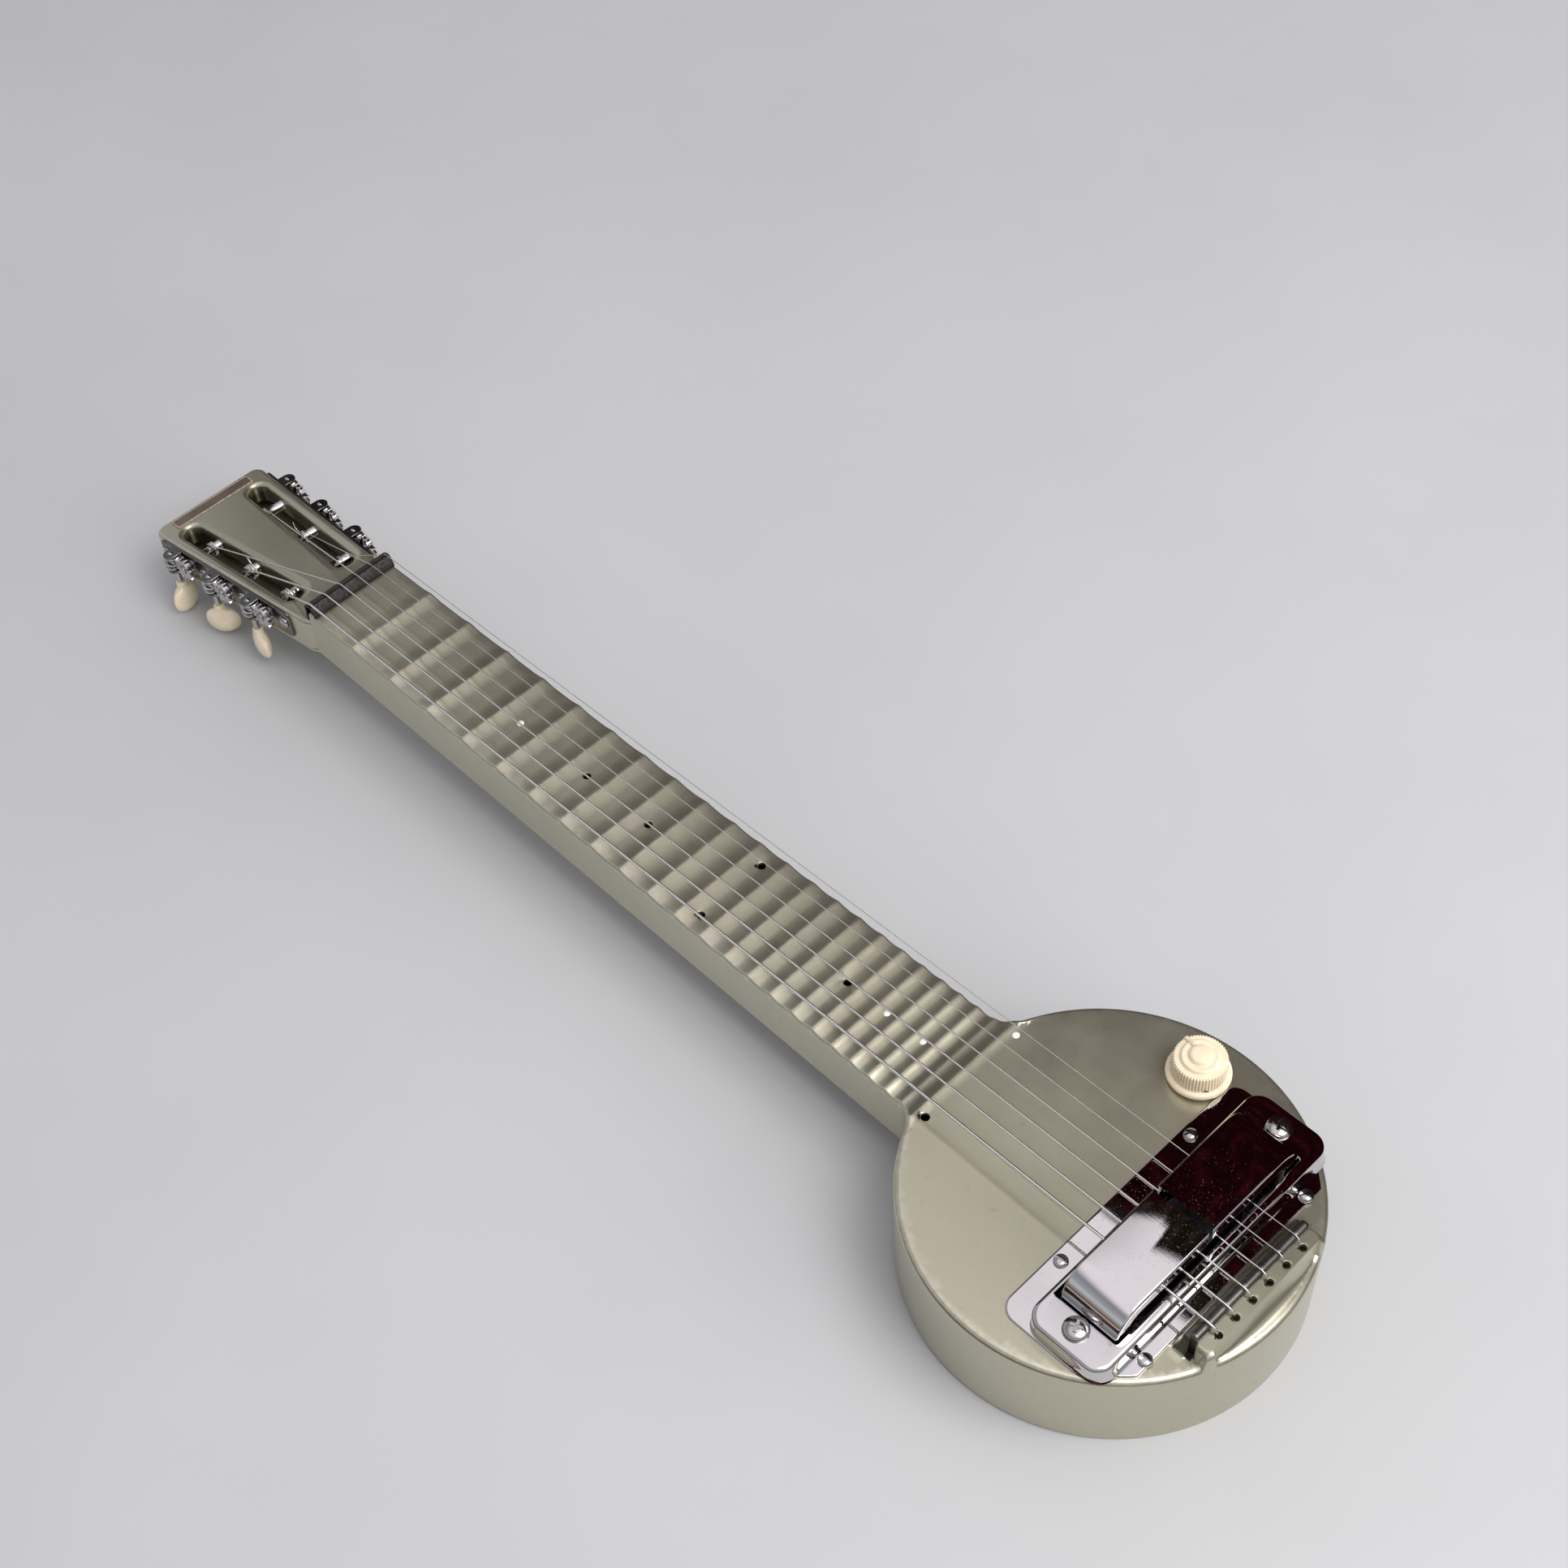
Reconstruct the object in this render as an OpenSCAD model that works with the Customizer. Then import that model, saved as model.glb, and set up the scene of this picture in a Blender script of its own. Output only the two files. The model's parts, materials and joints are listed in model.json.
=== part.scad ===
// Electric lap steel guitar: a hollow stamped sheet-metal body, neck and slotted headstock,
// with a horseshoe-magnet pickup, a round bridge rod and two strips of open worm-gear tuners.
// Guitar frame: X from the head to the tail with 0 at the nut's string break, Y towards the
// treble side, Z up with 0 on the fretboard's ridges. laid_down() then rests the guitar on the
// tail edge of its back plate and on its two lowest tuner buttons, with Z = 0 on the table.

/* [Strings and frets] */
// Speaking length that the fret ridges divide
scale_length = 571.5; // [560:0.5:585]
// Extra length at the bridge rod for string stiffness
compensation = 1.5; // [0:0.1:3]
// Raised ridges on the fretboard
ridge_count = 22; // [12:1:22]
// String spacing at the nut
nut_pitch = 9.71; // [9:0.01:9.9]
// String spacing at the bridge rod
bridge_pitch = 10.8; // [10:0.05:11]
// Height of the string break on the nut above the ridges
nut_height = 5.3; // [4:0.1:7]

/* [Neck] */
// Half width of the neck at the nut
neck_half_nut = 25.7; // [25:0.1:27]
// Half width of the neck where it meets the body
neck_half_body = 30; // [28:0.1:32]
// Depth of the neck channel below the ridges
neck_depth = 28.6; // [26:0.1:32]
// Height of a fret ridge over the flat between ridges
ridge_height = 1.2; // [0.8:0.1:1.6]
// Radius of a ridge's rounded crest
ridge_radius = 7; // [5:0.5:9]
// Radius of a marker hole
marker_radius = 2; // [1.5:0.1:2.5]

/* [Body] */
// Radius of the round body
body_radius = 89; // [86:0.5:92]
// Distance from the nut to the middle of the body
body_x = 501.5; // [498:0.5:504]
// Height of the body's top above the ridges
body_top = 2; // [1.5:0.1:2.5]
// Depth of the body from its top to the outside of the back plate
body_depth = 48; // [44:0.5:56]
// Radius of the shoulder between neck and body
shoulder_radius = 13; // [8:0.5:15]
// Thickness of the sheet metal
sheet = 1.2; // [1:0.1:1.5]

/* [Headstock] */
// Backward slope of the headstock in degrees
head_slope = 6.56; // [5:0.1:8]
// Drop from the ridges to the headstock plane at the nut
head_drop = 8.3; // [7:0.1:10]
// Length of the headstock from the nut
head_length = 133.9; // [132:0.1:138]
// Half width of the headstock near the nut
head_half_nut = 27.3; // [27:0.1:28]
// Half width of the headstock at its end
head_half_end = 35.2; // [34:0.1:36]
// Depth of the headstock channel
head_depth = 20; // [18:0.5:22]
// Half width of a string slot
slot_radius = 5.8; // [5:0.1:6.2]

/* [Tuners] */
// Distance between neighbouring tuners
tuner_pitch = 32.5; // [31:0.1:34]
// Depth of the post axes below the headstock's face
post_depth = 7; // [6.5:0.1:7.5]
// Radius of a string post
post_radius = 3; // [2.8:0.05:3.2]
// Teeth on a tuner gear
gear_teeth = 14; // [12:1:16]
// Distance from a post axis to its worm axis
worm_offset = 10.3; // [10.3:0.05:11]
// Height of the bottom of a button below the headstock's face
button_bottom = 39; // [37:0.5:42]

/* [Pickup and bridge] */
// Distance from the nut to the middle of the magnets
pickup_x = 538; // [536:0.5:540]
// Width of a magnet along the strings
magnet_width = 29; // [27:0.5:30]
// Height of the magnets' top above the ridges
magnet_top = 26; // [25:0.5:28]
// Thickness of a magnet's limb
magnet_thick = 8; // [7:0.5:8.5]
// Half length of the pair of magnets across the strings
magnet_reach = 57; // [55:0.5:58]
// Half of the gap between the magnets' upper ends
magnet_gap = 1.5; // [1:0.1:2]
// Height of the raised cover's top above the ridges
cover_top = 12.5; // [11:0.5:13.5]
// Radius of the bridge rod
rod_radius = 2.25; // [2:0.05:2.5]
// Height of the bridge rod's axis above the ridges
rod_z = 13.15; // [12.8:0.05:13.4]

/* [Volume control] */
// Distance from the nut to the knob's axis
knob_x = 493.4; // [490:0.1:494]
// Distance of the knob's axis from the centre line
knob_y = 66.9; // [66:0.1:69]
// Radius of the knob's base flange
knob_radius = 14.2; // [13:0.1:14.8]

/* [Hidden] */
$fn = 48;
tiny = 0.02;
fit_gap = 0.05;
SIDES = [-1, 1];
STRINGS = [1 : 6];
// Outer radius of each string, bass to treble
string_radius = [0.70, 0.58, 0.48, 0.38, 0.25, 0.20];
// Where each string lies on its post, across the guitar
wrap_y = [-18.5, -19.2, -20.5, 16.6, 18.6, 18.2];
// Resting turn of each tuner button about its worm, in degrees
button_turn = [20, -35, 75, 10, 55, -20];
body_low = body_top - body_depth;
wall_low = body_low + sheet;
rim_low = body_top - 6;
flat_z = -ridge_height;
neck_low = -neck_depth;
bridge_x = scale_length + compensation;
hole_x = bridge_x + 5.6;
hole_pitch = bridge_pitch - 0.2;
pad_top = 12;
string_hole_radius = 1.65;
rod_half = 35;
plate_front = 506;
plate_rear = 565;
cover_front = 518.5;
cover_rear = 559;
plate_half = 74;
cover_half = 73;
window = [520.5, 555.5, 59];
// Places of the screws and markers, on both sides of the centre line where Y isn't 0
plate_screws = [[510.6, 40.9, 0], [562.7, 50.8, 30]];
cover_screw = [pickup_x - 0.5, 63.4];
dotted_frets = [5, 19, 21];
open_frets = [7, 9, 17];
jack_angle = 125;
jack_z = -22;
plate_top = body_top + sheet;
button_height = 16;
button_width = 19;
button_thick = 8;
worm_y = 5.2;
gear_module = 0.93;
gear_outer = gear_module * (gear_teeth + 2) / 2 - 0.1;
gear_root = gear_module * (gear_teeth - 2.3) / 2;
gear_face = 3;
worm_pitch = PI * gear_module;
worm_outer = worm_offset - gear_module * gear_teeth / 2 + gear_module - 0.15;
worm_core = worm_offset - gear_outer - 0.25;
worm_length = 8;
worm_pin = 1.5;
lug_thick = 1.2;
first_post = -37.2;

// ---- Rules that the parts share ----

function fret_x(n) = scale_length * (1 - pow(2, -n / 12));
function between_frets(n) = (fret_x(n - 1) + fret_x(n)) / 2;
function neck_half(x) = neck_half_nut + (neck_half_body - neck_half_nut) * x / shoulder_x;
// Middle of the shoulder's arc, tangent to the neck's edge and to the round body
shoulder_y = neck_half_body + shoulder_radius;
shoulder_x = body_x - sqrt(pow(body_radius + shoulder_radius, 2) - pow(shoulder_y, 2));
// Headstock coordinates: origin under the nut on the headstock's face, Z away from that face
head_flare = (head_half_end - head_half_nut) / (head_length - 8);
head_turn = atan(head_flare);
function head_side(x) = head_half_nut + head_flare * (-8 - x);
function head_point(p) = [
    p.x * cos(head_slope) - p.z * sin(head_slope),
    p.y,
    -head_drop + p.x * sin(head_slope) + p.z * cos(head_slope)
];
module head_frame() translate([0, 0, -head_drop]) rotate([0, -head_slope, 0]) children();

// Strings 1 to 3 use the bass posts and 4 to 6 the treble posts; the middle strings go furthest
function string_side(i) = i <= 3 ? -1 : 1;
function post_rank(i) = i <= 3 ? i - 1 : 6 - i;
function post_x(i) = first_post - tuner_pitch * post_rank(i);
function string_y(i, pitch) = pitch * (i - 3.5);

// Tuner coordinates: on the outside of the side wall beside the post, X along the wall to the
// nut, Y outwards, Z up from the headstock's face. The bass side is the treble side's mirror.
module on_side(side) {
    if (side > 0) children();
    else mirror([0, 1, 0]) children();
}
module side_wall_frame(side, x) {
    head_frame() on_side(side) translate([x, head_side(x), 0]) rotate([0, 0, -head_turn]) children();
}
module tuner_frame(i) side_wall_frame(string_side(i), post_x(i)) children();

// Resting place: the tail edge of the back plate and the lowest buttons touch the table
button_foot = sqrt(pow(button_width / 2, 2) - pow(button_height / 2, 2));
lowest_button = head_point([post_x(3) - worm_offset - button_foot, 0, -button_bottom]);
tail_edge = [body_x + body_radius, 0, body_low];
rest_tilt = atan2(tail_edge.z - lowest_button.z, tail_edge.x - lowest_button.x);
rest_height = tail_edge.x * sin(rest_tilt) - tail_edge.z * cos(rest_tilt);
origin_x = 228.47;
module laid_down() translate([-origin_x, 0, rest_height]) rotate([0, rest_tilt, 0]) children();

module bar(a, b, r) {
    d = b - a;
    turn = atan2(norm([d.x, d.y]), d.z);
    translate(a) rotate([0, turn, atan2(d.y, d.x)]) cylinder(r = r, h = norm(d));
}
// A wire along a route, with one eight-sided ring at each point, square to the bend
wire_sides = 8;
function unit(v) = v / norm(v);
function way_through(route, k) = let (last = len(route) - 1)
    k == 0 ? unit(route[1] - route[0]) : k == last ? unit(route[last] - route[last - 1]) :
    unit(unit(route[k + 1] - route[k]) + unit(route[k] - route[k - 1]));
function wire_ring(p, t, r) = let (u = unit(cross(t, [0, 1, 0])), v = cross(t, u))
    [for (j = [0 : wire_sides - 1]) let (a = 360 * j / wire_sides) p + r * (cos(a) * u + sin(a) * v)];
module wire(route, r) {
    last = wire_sides * (len(route) - 1);
    polyhedron(
        points = [for (k = [0 : len(route) - 1]) each wire_ring(route[k], way_through(route, k), r)],
        faces = concat(
            [[for (j = [0 : wire_sides - 1]) j]],
            [for (k = [0 : len(route) - 2], j = [0 : wire_sides - 1])
                let (a = wire_sides * k, b = a + wire_sides, n = (j + 1) % wire_sides)
                each [[a + j, b + j, b + n], [a + j, b + n, a + n]]],
            [[for (j = [wire_sides - 1 : -1 : 0]) last + j]]
        )
    );
}
module rounded_rect(x0, x1, half, r) {
    translate([x0, -half + r]) square([x1 - x0, 2 * (half - r)]);
    translate([x0 + r, -half]) square([x1 - x0 - 2 * r, 2 * half]);
    for (x = [x0 + r, x1 - r], y = [-half + r, half - r]) translate([x, y]) circle(r = r);
}
module hex_nut(across, bore, height) {
    difference() {
        cylinder(r = across / sqrt(3), h = height, $fn = 6);
        translate([0, 0, -1]) cylinder(r = bore, h = height + 2);
    }
}

// ---- Body, neck and headstock: one stamping, with the round side wall below its rim ----

// Plan of the neck with its shoulders, drawn in by inset on every side
module neck_plan(inset, x0) {
    polygon([
        [x0, -neck_half(x0) + inset], [shoulder_x, -neck_half_body + inset],
        [shoulder_x + 30, -neck_half_body + inset], [shoulder_x + 30, neck_half_body - inset],
        [shoulder_x, neck_half_body - inset], [x0, neck_half(x0) - inset]
    ]);
    touch = body_radius / (body_radius + shoulder_radius);
    for (side = SIDES) difference() {
        polygon([
            [shoulder_x, 0], [shoulder_x, side * shoulder_y],
            [body_x + (shoulder_x - body_x) * touch, side * shoulder_y * touch], [shoulder_x + 40, 0]
        ]);
        translate([shoulder_x, side * shoulder_y]) circle(r = shoulder_radius + inset);
    }
}
// Points along an arc, from one angle to another
function arc(middle, r, from, to, steps = 10) =
    [for (k = [0 : steps]) let (a = from + (to - from) * k / steps) middle + r * [cos(a), sin(a)]];
// Plan of the headstock on its own face, drawn in by inset
module head_plan(inset) {
    r = 6;
    corner_x = -head_length + r;
    corner_y = head_side(corner_x) - r / cos(head_turn);
    side_in = inset / cos(head_turn);
    half = concat(
        [[-2, neck_half_nut - inset], [-4, neck_half_nut - inset], [-8, head_half_nut - side_in]],
        arc([corner_x, corner_y], r - inset, 90 - head_turn, 180)
    );
    polygon(concat(half, [for (k = [len(half) - 1 : -1 : 0]) [half[k].x, -half[k].y]]));
}
// Plan of one string slot, grown by grow on every side
module slot_plan(side, grow) {
    a = [-32.5, side * 16.4];
    b = [-115, side * 21.4];
    way = atan2(b.y - a.y, b.x - a.x);
    r = slot_radius + grow;
    polygon(concat(arc(b, r, way - 90, way + 90), arc(a, r, way + 90, way + 270)));
}

module fret_ridges() {
    intersection() {
        translate([0, 0, flat_z - 0.2]) linear_extrude(ridge_height + 0.3) neck_plan(0.5, 3);
        for (n = [1 : ridge_count]) {
            translate([fret_x(n), 0, -ridge_radius]) rotate([90, 0, 0])
                cylinder(r = ridge_radius, h = 80, center = true);
        }
    }
}
// Raised tail with the rod's seat and the string holes, hollow below
module tail_hump() {
    foot = body_top - 0.4;
    cove_start = 581.2;
    cove_end = 590.5;
    cove = [for (a = [90 : -15 : 0])
        [cove_end - (cove_end - cove_start) * sin(a), foot + (pad_top - foot) * (1 - cos(a))]];
    front = [[plate_rear + 0.3, foot], [568.8, pad_top - 0.6], [569.4, pad_top]];
    intersection() {
        rotate([90, 0, 0]) linear_extrude(90, center = true) polygon(concat(front, cove));
        translate([0, 0, -1]) linear_extrude(20) rounded_rect(plate_rear, cove_end + 5, 40, 6);
        translate([body_x, 0, -1]) cylinder(r = body_radius - 0.6, h = 20);
    }
}
// Wedge of the round body that the neck's channel opens into
mouth_angle = atan2(shoulder_y, body_x - shoulder_x) + 2;
module neck_mouth() translate([body_x, 0, neck_low + sheet]) linear_extrude(-neck_low)
    polygon([[0, 0], [-120, 120 * tan(mouth_angle)], [-120, -120 * tan(mouth_angle)]]);
module shell_blank() {
    translate([body_x, 0, rim_low]) cylinder(r = body_radius, h = body_top - rim_low, $fn = 96);
    intersection() {
        translate([body_x, 0, neck_low]) cylinder(r = body_radius, h = rim_low + 1 - neck_low, $fn = 96);
        neck_mouth();
    }
    translate([0, 0, neck_low + sheet]) linear_extrude(flat_z - neck_low - sheet) neck_plan(0, -3);
    fret_ridges();
    translate([-4.2, -neck_half_nut, -12]) cube([sheet, 2 * neck_half_nut, 12 + flat_z]);
    tail_hump();
}
module shell_hollows() {
    translate([body_x, 0, neck_low])
        cylinder(r = body_radius - sheet, h = body_top - sheet - neck_low, $fn = 96);
    translate([0, 0, neck_low - 1]) linear_extrude(flat_z - sheet - neck_low + 1) neck_plan(sheet, -3 + sheet);
    translate([576.4, -34, -1]) cube([4.2, 68, pad_top]);
}
module magnet_window() translate([window[0], -window[2], -4])
    cube([window[1] - window[0], 2 * window[2], 12]);
module shell_holes() {
    for (n = concat(open_frets, dotted_frets))
        translate([between_frets(n), 0, -4]) cylinder(r = marker_radius, h = 8);
    for (side = SIDES) {
        translate([between_frets(12), side * 19.25, -4]) cylinder(r = marker_radius, h = 8);
        translate([between_frets(24), side * 28.5, -4]) cylinder(r = marker_radius, h = 8);
        translate([cover_screw.x, side * cover_screw.y, -4]) cylinder(r = 2.3, h = 8);
        for (p = plate_screws) translate([p.x, side * p.y, -4]) cylinder(r = 1.3, h = 8);
    }
    for (i = STRINGS) translate([hole_x, string_y(i, hole_pitch), 0]) cylinder(r = string_hole_radius, h = 20);
    translate([bridge_x, 0, rod_z]) rotate([90, 0, 0]) cylinder(r = rod_radius + tiny, h = 84, center = true);
    magnet_window();
    translate([knob_x, knob_y, -4]) cylinder(r = 4.85, h = 8);
}
module head_shell() {
    difference() {
        union() {
            difference() {
                translate([0, 0, sheet - head_depth]) linear_extrude(head_depth - sheet) head_plan(0);
                translate([0, 0, -head_depth - 1]) linear_extrude(head_depth + 1 - sheet) head_plan(sheet);
            }
            for (side = SIDES) translate([0, 0, -11.5]) linear_extrude(11.5) slot_plan(side, sheet);
        }
        for (side = SIDES) translate([0, 0, -15]) linear_extrude(20) slot_plan(side, 0);
    }
}
module post_bores() {
    for (i = STRINGS) tuner_frame(i) translate([0, 3, -post_depth]) rotate([90, 0, 0])
        cylinder(r = post_radius + fit_gap, h = 30);
}
module body_shell() color([0.66, 0.64, 0.56]) difference() {
    union() {
        difference() {
            shell_blank();
            shell_hollows();
            shell_holes();
        }
        head_frame() head_shell();
    }
    post_bores();
    for (side = SIDES, x = strip_screw_x) side_wall_frame(side, x)
        translate([0, 1, -strip_screw_depth]) rotate([90, 0, 0]) cylinder(r = 1.3, h = 4);
}
module body_wall() color([0.66, 0.64, 0.56]) difference() {
    translate([body_x, 0, wall_low]) cylinder(r = body_radius, h = rim_low - wall_low, $fn = 96);
    translate([body_x, 0, wall_low - 1]) cylinder(r = body_radius - sheet, h = body_depth, $fn = 96);
    neck_mouth();
    translate([body_x, 0, jack_z]) rotate([0, 90, jack_angle]) cylinder(r = 4.85, h = 100);
}

back_screw_angles = [20, 90, 160, 200, 270, 340];
module back_plate() color([0.6, 0.58, 0.5]) difference() {
    translate([body_x, 0, body_low]) cylinder(r = body_radius, h = sheet, $fn = 96);
    for (a = back_screw_angles) translate([body_x, 0, body_low]) rotate([0, 0, a])
        translate([body_radius - 8, 0, -1]) cylinder(r = 1.6, h = 4);
    for (a = back_screw_angles) translate([body_x, 0, body_low - tiny]) rotate([0, 0, a])
        translate([body_radius - 8, 0, 0]) cylinder(r1 = 3.1, r2 = 1.6, h = 1);
}
module back_plate_lugs() color([0.55, 0.55, 0.52]) for (a = back_screw_angles) {
    translate([body_x, 0, wall_low + tiny]) rotate([0, 0, a]) difference() {
        translate([body_radius - 14, -6, 0]) cube([12, 12, 2]);
        translate([body_radius - 8, 0, -1]) cylinder(r = 1.55, h = 4);
    }
}
module back_plate_screws() color("silver") for (a = back_screw_angles) {
    translate([body_x, 0, body_low]) rotate([0, 0, a]) translate([body_radius - 8, 0, 0]) difference() {
        union() {
            cylinder(r1 = 3.0, r2 = 1.5, h = 0.95);
            cylinder(r = 1.5, h = 6);
        }
        translate([-4, -0.4, -1]) cube([8, 0.8, 1.5]);
    }
}
module neck_back_cover() color([0.6, 0.58, 0.5]) difference() {
    union() {
        translate([0, 0, neck_low]) linear_extrude(sheet) intersection() {
            neck_plan(0, -3);
            translate([-10, -32]) square([shoulder_x + 60, 64]);
        }
        head_frame() translate([0, 0, -head_depth]) linear_extrude(sheet) head_plan(0);
    }
    translate([body_x, 0, neck_low - 1]) cylinder(r = body_radius + tiny, h = 4, $fn = 96);
}

// ---- Nut, markers and nameplate ----

module nut() color([0.1, 0.1, 0.1]) difference() {
    rotate([90, 0, 0]) linear_extrude(2 * neck_half_nut - 0.2, center = true) polygon([
        [-4.2 - tiny, -7.6], [-5.4, -7.6], [-5.4, 3.2], [-2.4, nut_height - 0.3], [-0.3, nut_height],
        [0.3, nut_height], [3, flat_z + 1.2], [3, flat_z + tiny], [-4.2 - tiny, flat_z + tiny]
    ]);
    for (i = STRINGS) {
        seat = nut_point(i);
        bar(seat + 12 * unit(post_point(i) - seat), seat, string_radius[i - 1] + 0.2);
        bar(seat - [0.3, 0, 0], seat + [3, 0, 0], string_radius[i - 1] + 0.1);
    }
}
module fret_marker_dots() color([0.95, 0.93, 0.9]) {
    on_neck = [for (n = dotted_frets) [between_frets(n), 0, flat_z]];
    for (p = concat(on_neck, [[between_frets(24), 28.5, body_top]]))
        translate(p - [0, 0, 1]) cylinder(r = marker_radius - fit_gap, h = 1.1);
}
module nameplate() color([0.5, 0.4, 0.36]) head_frame()
    translate([0, 0, tiny]) linear_extrude(0.5) rounded_rect(-131.5, -123.5, 25, 1);

// ---- Strings, from the posts over the nut and the bridge rod into the tail ----

function nut_point(i) = [0, string_y(i, nut_pitch), nut_height + string_radius[i - 1]];
function over_rod(i, a) = [
    bridge_x + (rod_radius + string_radius[i - 1] + 0.15) * sin(a),
    string_y(i, bridge_pitch),
    rod_z + (rod_radius + string_radius[i - 1] + 0.15) * cos(a)
];
function post_point(i) = let (reach = (head_side(post_x(i)) - abs(wrap_y[i - 1])) / cos(head_turn))
    head_point([
        post_x(i) - reach * sin(head_turn), wrap_y[i - 1],
        -post_depth + post_radius + string_radius[i - 1] + 0.2
    ]);
module string(i) color([0.8, 0.8, 0.8]) wire([
    post_point(i), nut_point(i), over_rod(i, 0), over_rod(i, 30), over_rod(i, 55),
    [hole_x - 0.4, string_y(i, hole_pitch), pad_top + 0.9], [hole_x, string_y(i, hole_pitch), pad_top - 1.3]
], string_radius[i - 1]);
module string_ball_ends() color([0.8, 0.65, 0.35]) for (i = STRINGS)
    translate([hole_x, string_y(i, hole_pitch), 8.7]) rotate([90, 0, 0])
        cylinder(r = 1.9, h = 3, center = true);
module bridge_rod() color([0.3, 0.3, 0.3]) translate([bridge_x, 0, rod_z]) rotate([90, 0, 0])
    cylinder(r = rod_radius, h = 2 * rod_half, center = true);

// ---- Tuners ----

strip_screw_x = [-24.5, -58, -90.5, -122];
strip_screw_depth = 8;
strip_low = -17;
module tuner_strip(side) color([0.45, 0.45, 0.45]) difference() {
    union() {
        side_wall_frame(side, post_x(1) - tuner_pitch)
            translate([-57, tiny, strip_low]) cube([107, sheet, -1 - strip_low]);
        for (k = [0 : 2]) side_wall_frame(side, first_post - k * tuner_pitch)
            for (z = [worm_top, worm_top - worm_length - 2 * 0.3 - lug_thick])
                translate([-worm_offset, 0, z + 0.3]) {
                    translate([-4, 0.5, 0]) cube([8, worm_y - 0.5, lug_thick]);
                    translate([0, worm_y, 0]) cylinder(r = 4, h = lug_thick);
                }
    }
    for (k = [0 : 2]) side_wall_frame(side, first_post - k * tuner_pitch) {
        translate([-worm_offset, worm_y, -25]) cylinder(r = worm_pin + fit_gap, h = 30);
        translate([0, 4, -post_depth]) rotate([90, 0, 0]) cylinder(r = post_radius + fit_gap, h = 8);
        translate([-worm_offset - 3.2, -1, worm_top - worm_length - 0.3])
            cube([6.4, 3, worm_length + 0.6]);
    }
    for (x = strip_screw_x) side_wall_frame(side, x)
        translate([0, 4, -strip_screw_depth]) rotate([90, 0, 0]) cylinder(r = 1.3, h = 8);
}
module tuner_strip_screws() color("silver") for (side = SIDES, x = strip_screw_x)
    side_wall_frame(side, x) translate([0, sheet + 2 * tiny, -strip_screw_depth]) rotate([-90, 0, 0])
    difference() {
        union() {
            intersection() {
                cylinder(r = 3.2, h = 2);
                translate([0, 0, -2.2]) sphere(r = 4);
            }
            translate([0, 0, -5]) cylinder(r = 1.25, h = 5.5);
        }
        rotate([0, 0, 40]) translate([-4, -0.4, 1]) cube([8, 0.8, 2]);
    }
worm_top = -post_depth + worm_length / 2;
module tuner_post(i) color([0.8, 0.8, 0.8]) tuner_frame(i) translate([0, 0, -post_depth]) rotate([90, 0, 0]) {
    difference() {
        translate([0, 0, -sheet - 0.9]) cylinder(r = post_radius, h = 25);
        translate([0, -6, 14]) cylinder(r = 0.9, h = 2);
        translate([0, 5, 15.5]) rotate([90, 0, 0]) cylinder(r = 0.9, h = 10);
    }
    translate([0, 0, -worm_y - gear_face / 2 - 0.8]) cylinder(r = 1.9, h = 6);
}
module gear_outline() {
    step = 360 / gear_teeth;
    polygon([for (k = [0 : gear_teeth - 1], c = [[-0.26, 0], [-0.14, 1], [0.14, 1], [0.26, 0]])
        let (a = step * (k + c.x), r = c.y > 0 ? gear_outer : gear_root) [r * cos(a), r * sin(a)]]);
}
module tuner_gear(i) color([0.75, 0.75, 0.75]) tuner_frame(i)
    translate([0, worm_y, -post_depth]) rotate([90, 0, 0]) rotate([0, 0, gear_phase]) difference() {
        translate([0, 0, -gear_face / 2]) linear_extrude(gear_face) gear_outline();
        cylinder(r = 1.9 + tiny, h = 20, center = true);
    }
// A tooth gap faces the worm at rest, where the thread's middle turn enters it
gear_phase = 180 - 180 / gear_teeth;
thread_steps = 16;
thread_turns = 2.25;
function thread_ring(t) = let (
    a = 360 * t, z = worm_pitch * t, tip = worm_pitch * 0.13, foot = worm_pitch * 0.24,
    core = worm_core + tiny, c = cos(a), s = sin(a)
) [
    [core * c, core * s, z - foot], [worm_outer * c, worm_outer * s, z - tip],
    [worm_outer * c, worm_outer * s, z + tip], [core * c, core * s, z + foot]
];
module worm_thread() {
    steps = thread_steps * thread_turns;
    rings = [for (k = [0 : steps]) thread_ring(k / thread_steps - thread_turns / 2)];
    sides = [for (k = [0 : steps - 1], j = [0 : 3])
        [4 * k + j, 4 * k + (j + 1) % 4, 4 * k + 4 + (j + 1) % 4, 4 * k + 4 + j]];
    last = 4 * steps;
    polyhedron(points = [for (r = rings) each r],
        faces = concat([[3, 2, 1, 0]], sides, [[last, last + 1, last + 2, last + 3]]));
}
module tuner_worm(i) color([0.7, 0.7, 0.7]) tuner_frame(i) translate([-worm_offset, worm_y, 0]) {
    translate([0, 0, worm_top - worm_length]) cylinder(r = worm_core, h = worm_length);
    shaft_low = -button_bottom + 6;
    translate([0, 0, worm_top - tiny]) cylinder(r = worm_pin, h = lug_thick + 1);
    translate([0, 0, shaft_low]) cylinder(r = worm_pin, h = worm_top - worm_length + tiny - shaft_low);
    translate([0, 0, -post_depth]) worm_thread();
}
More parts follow.
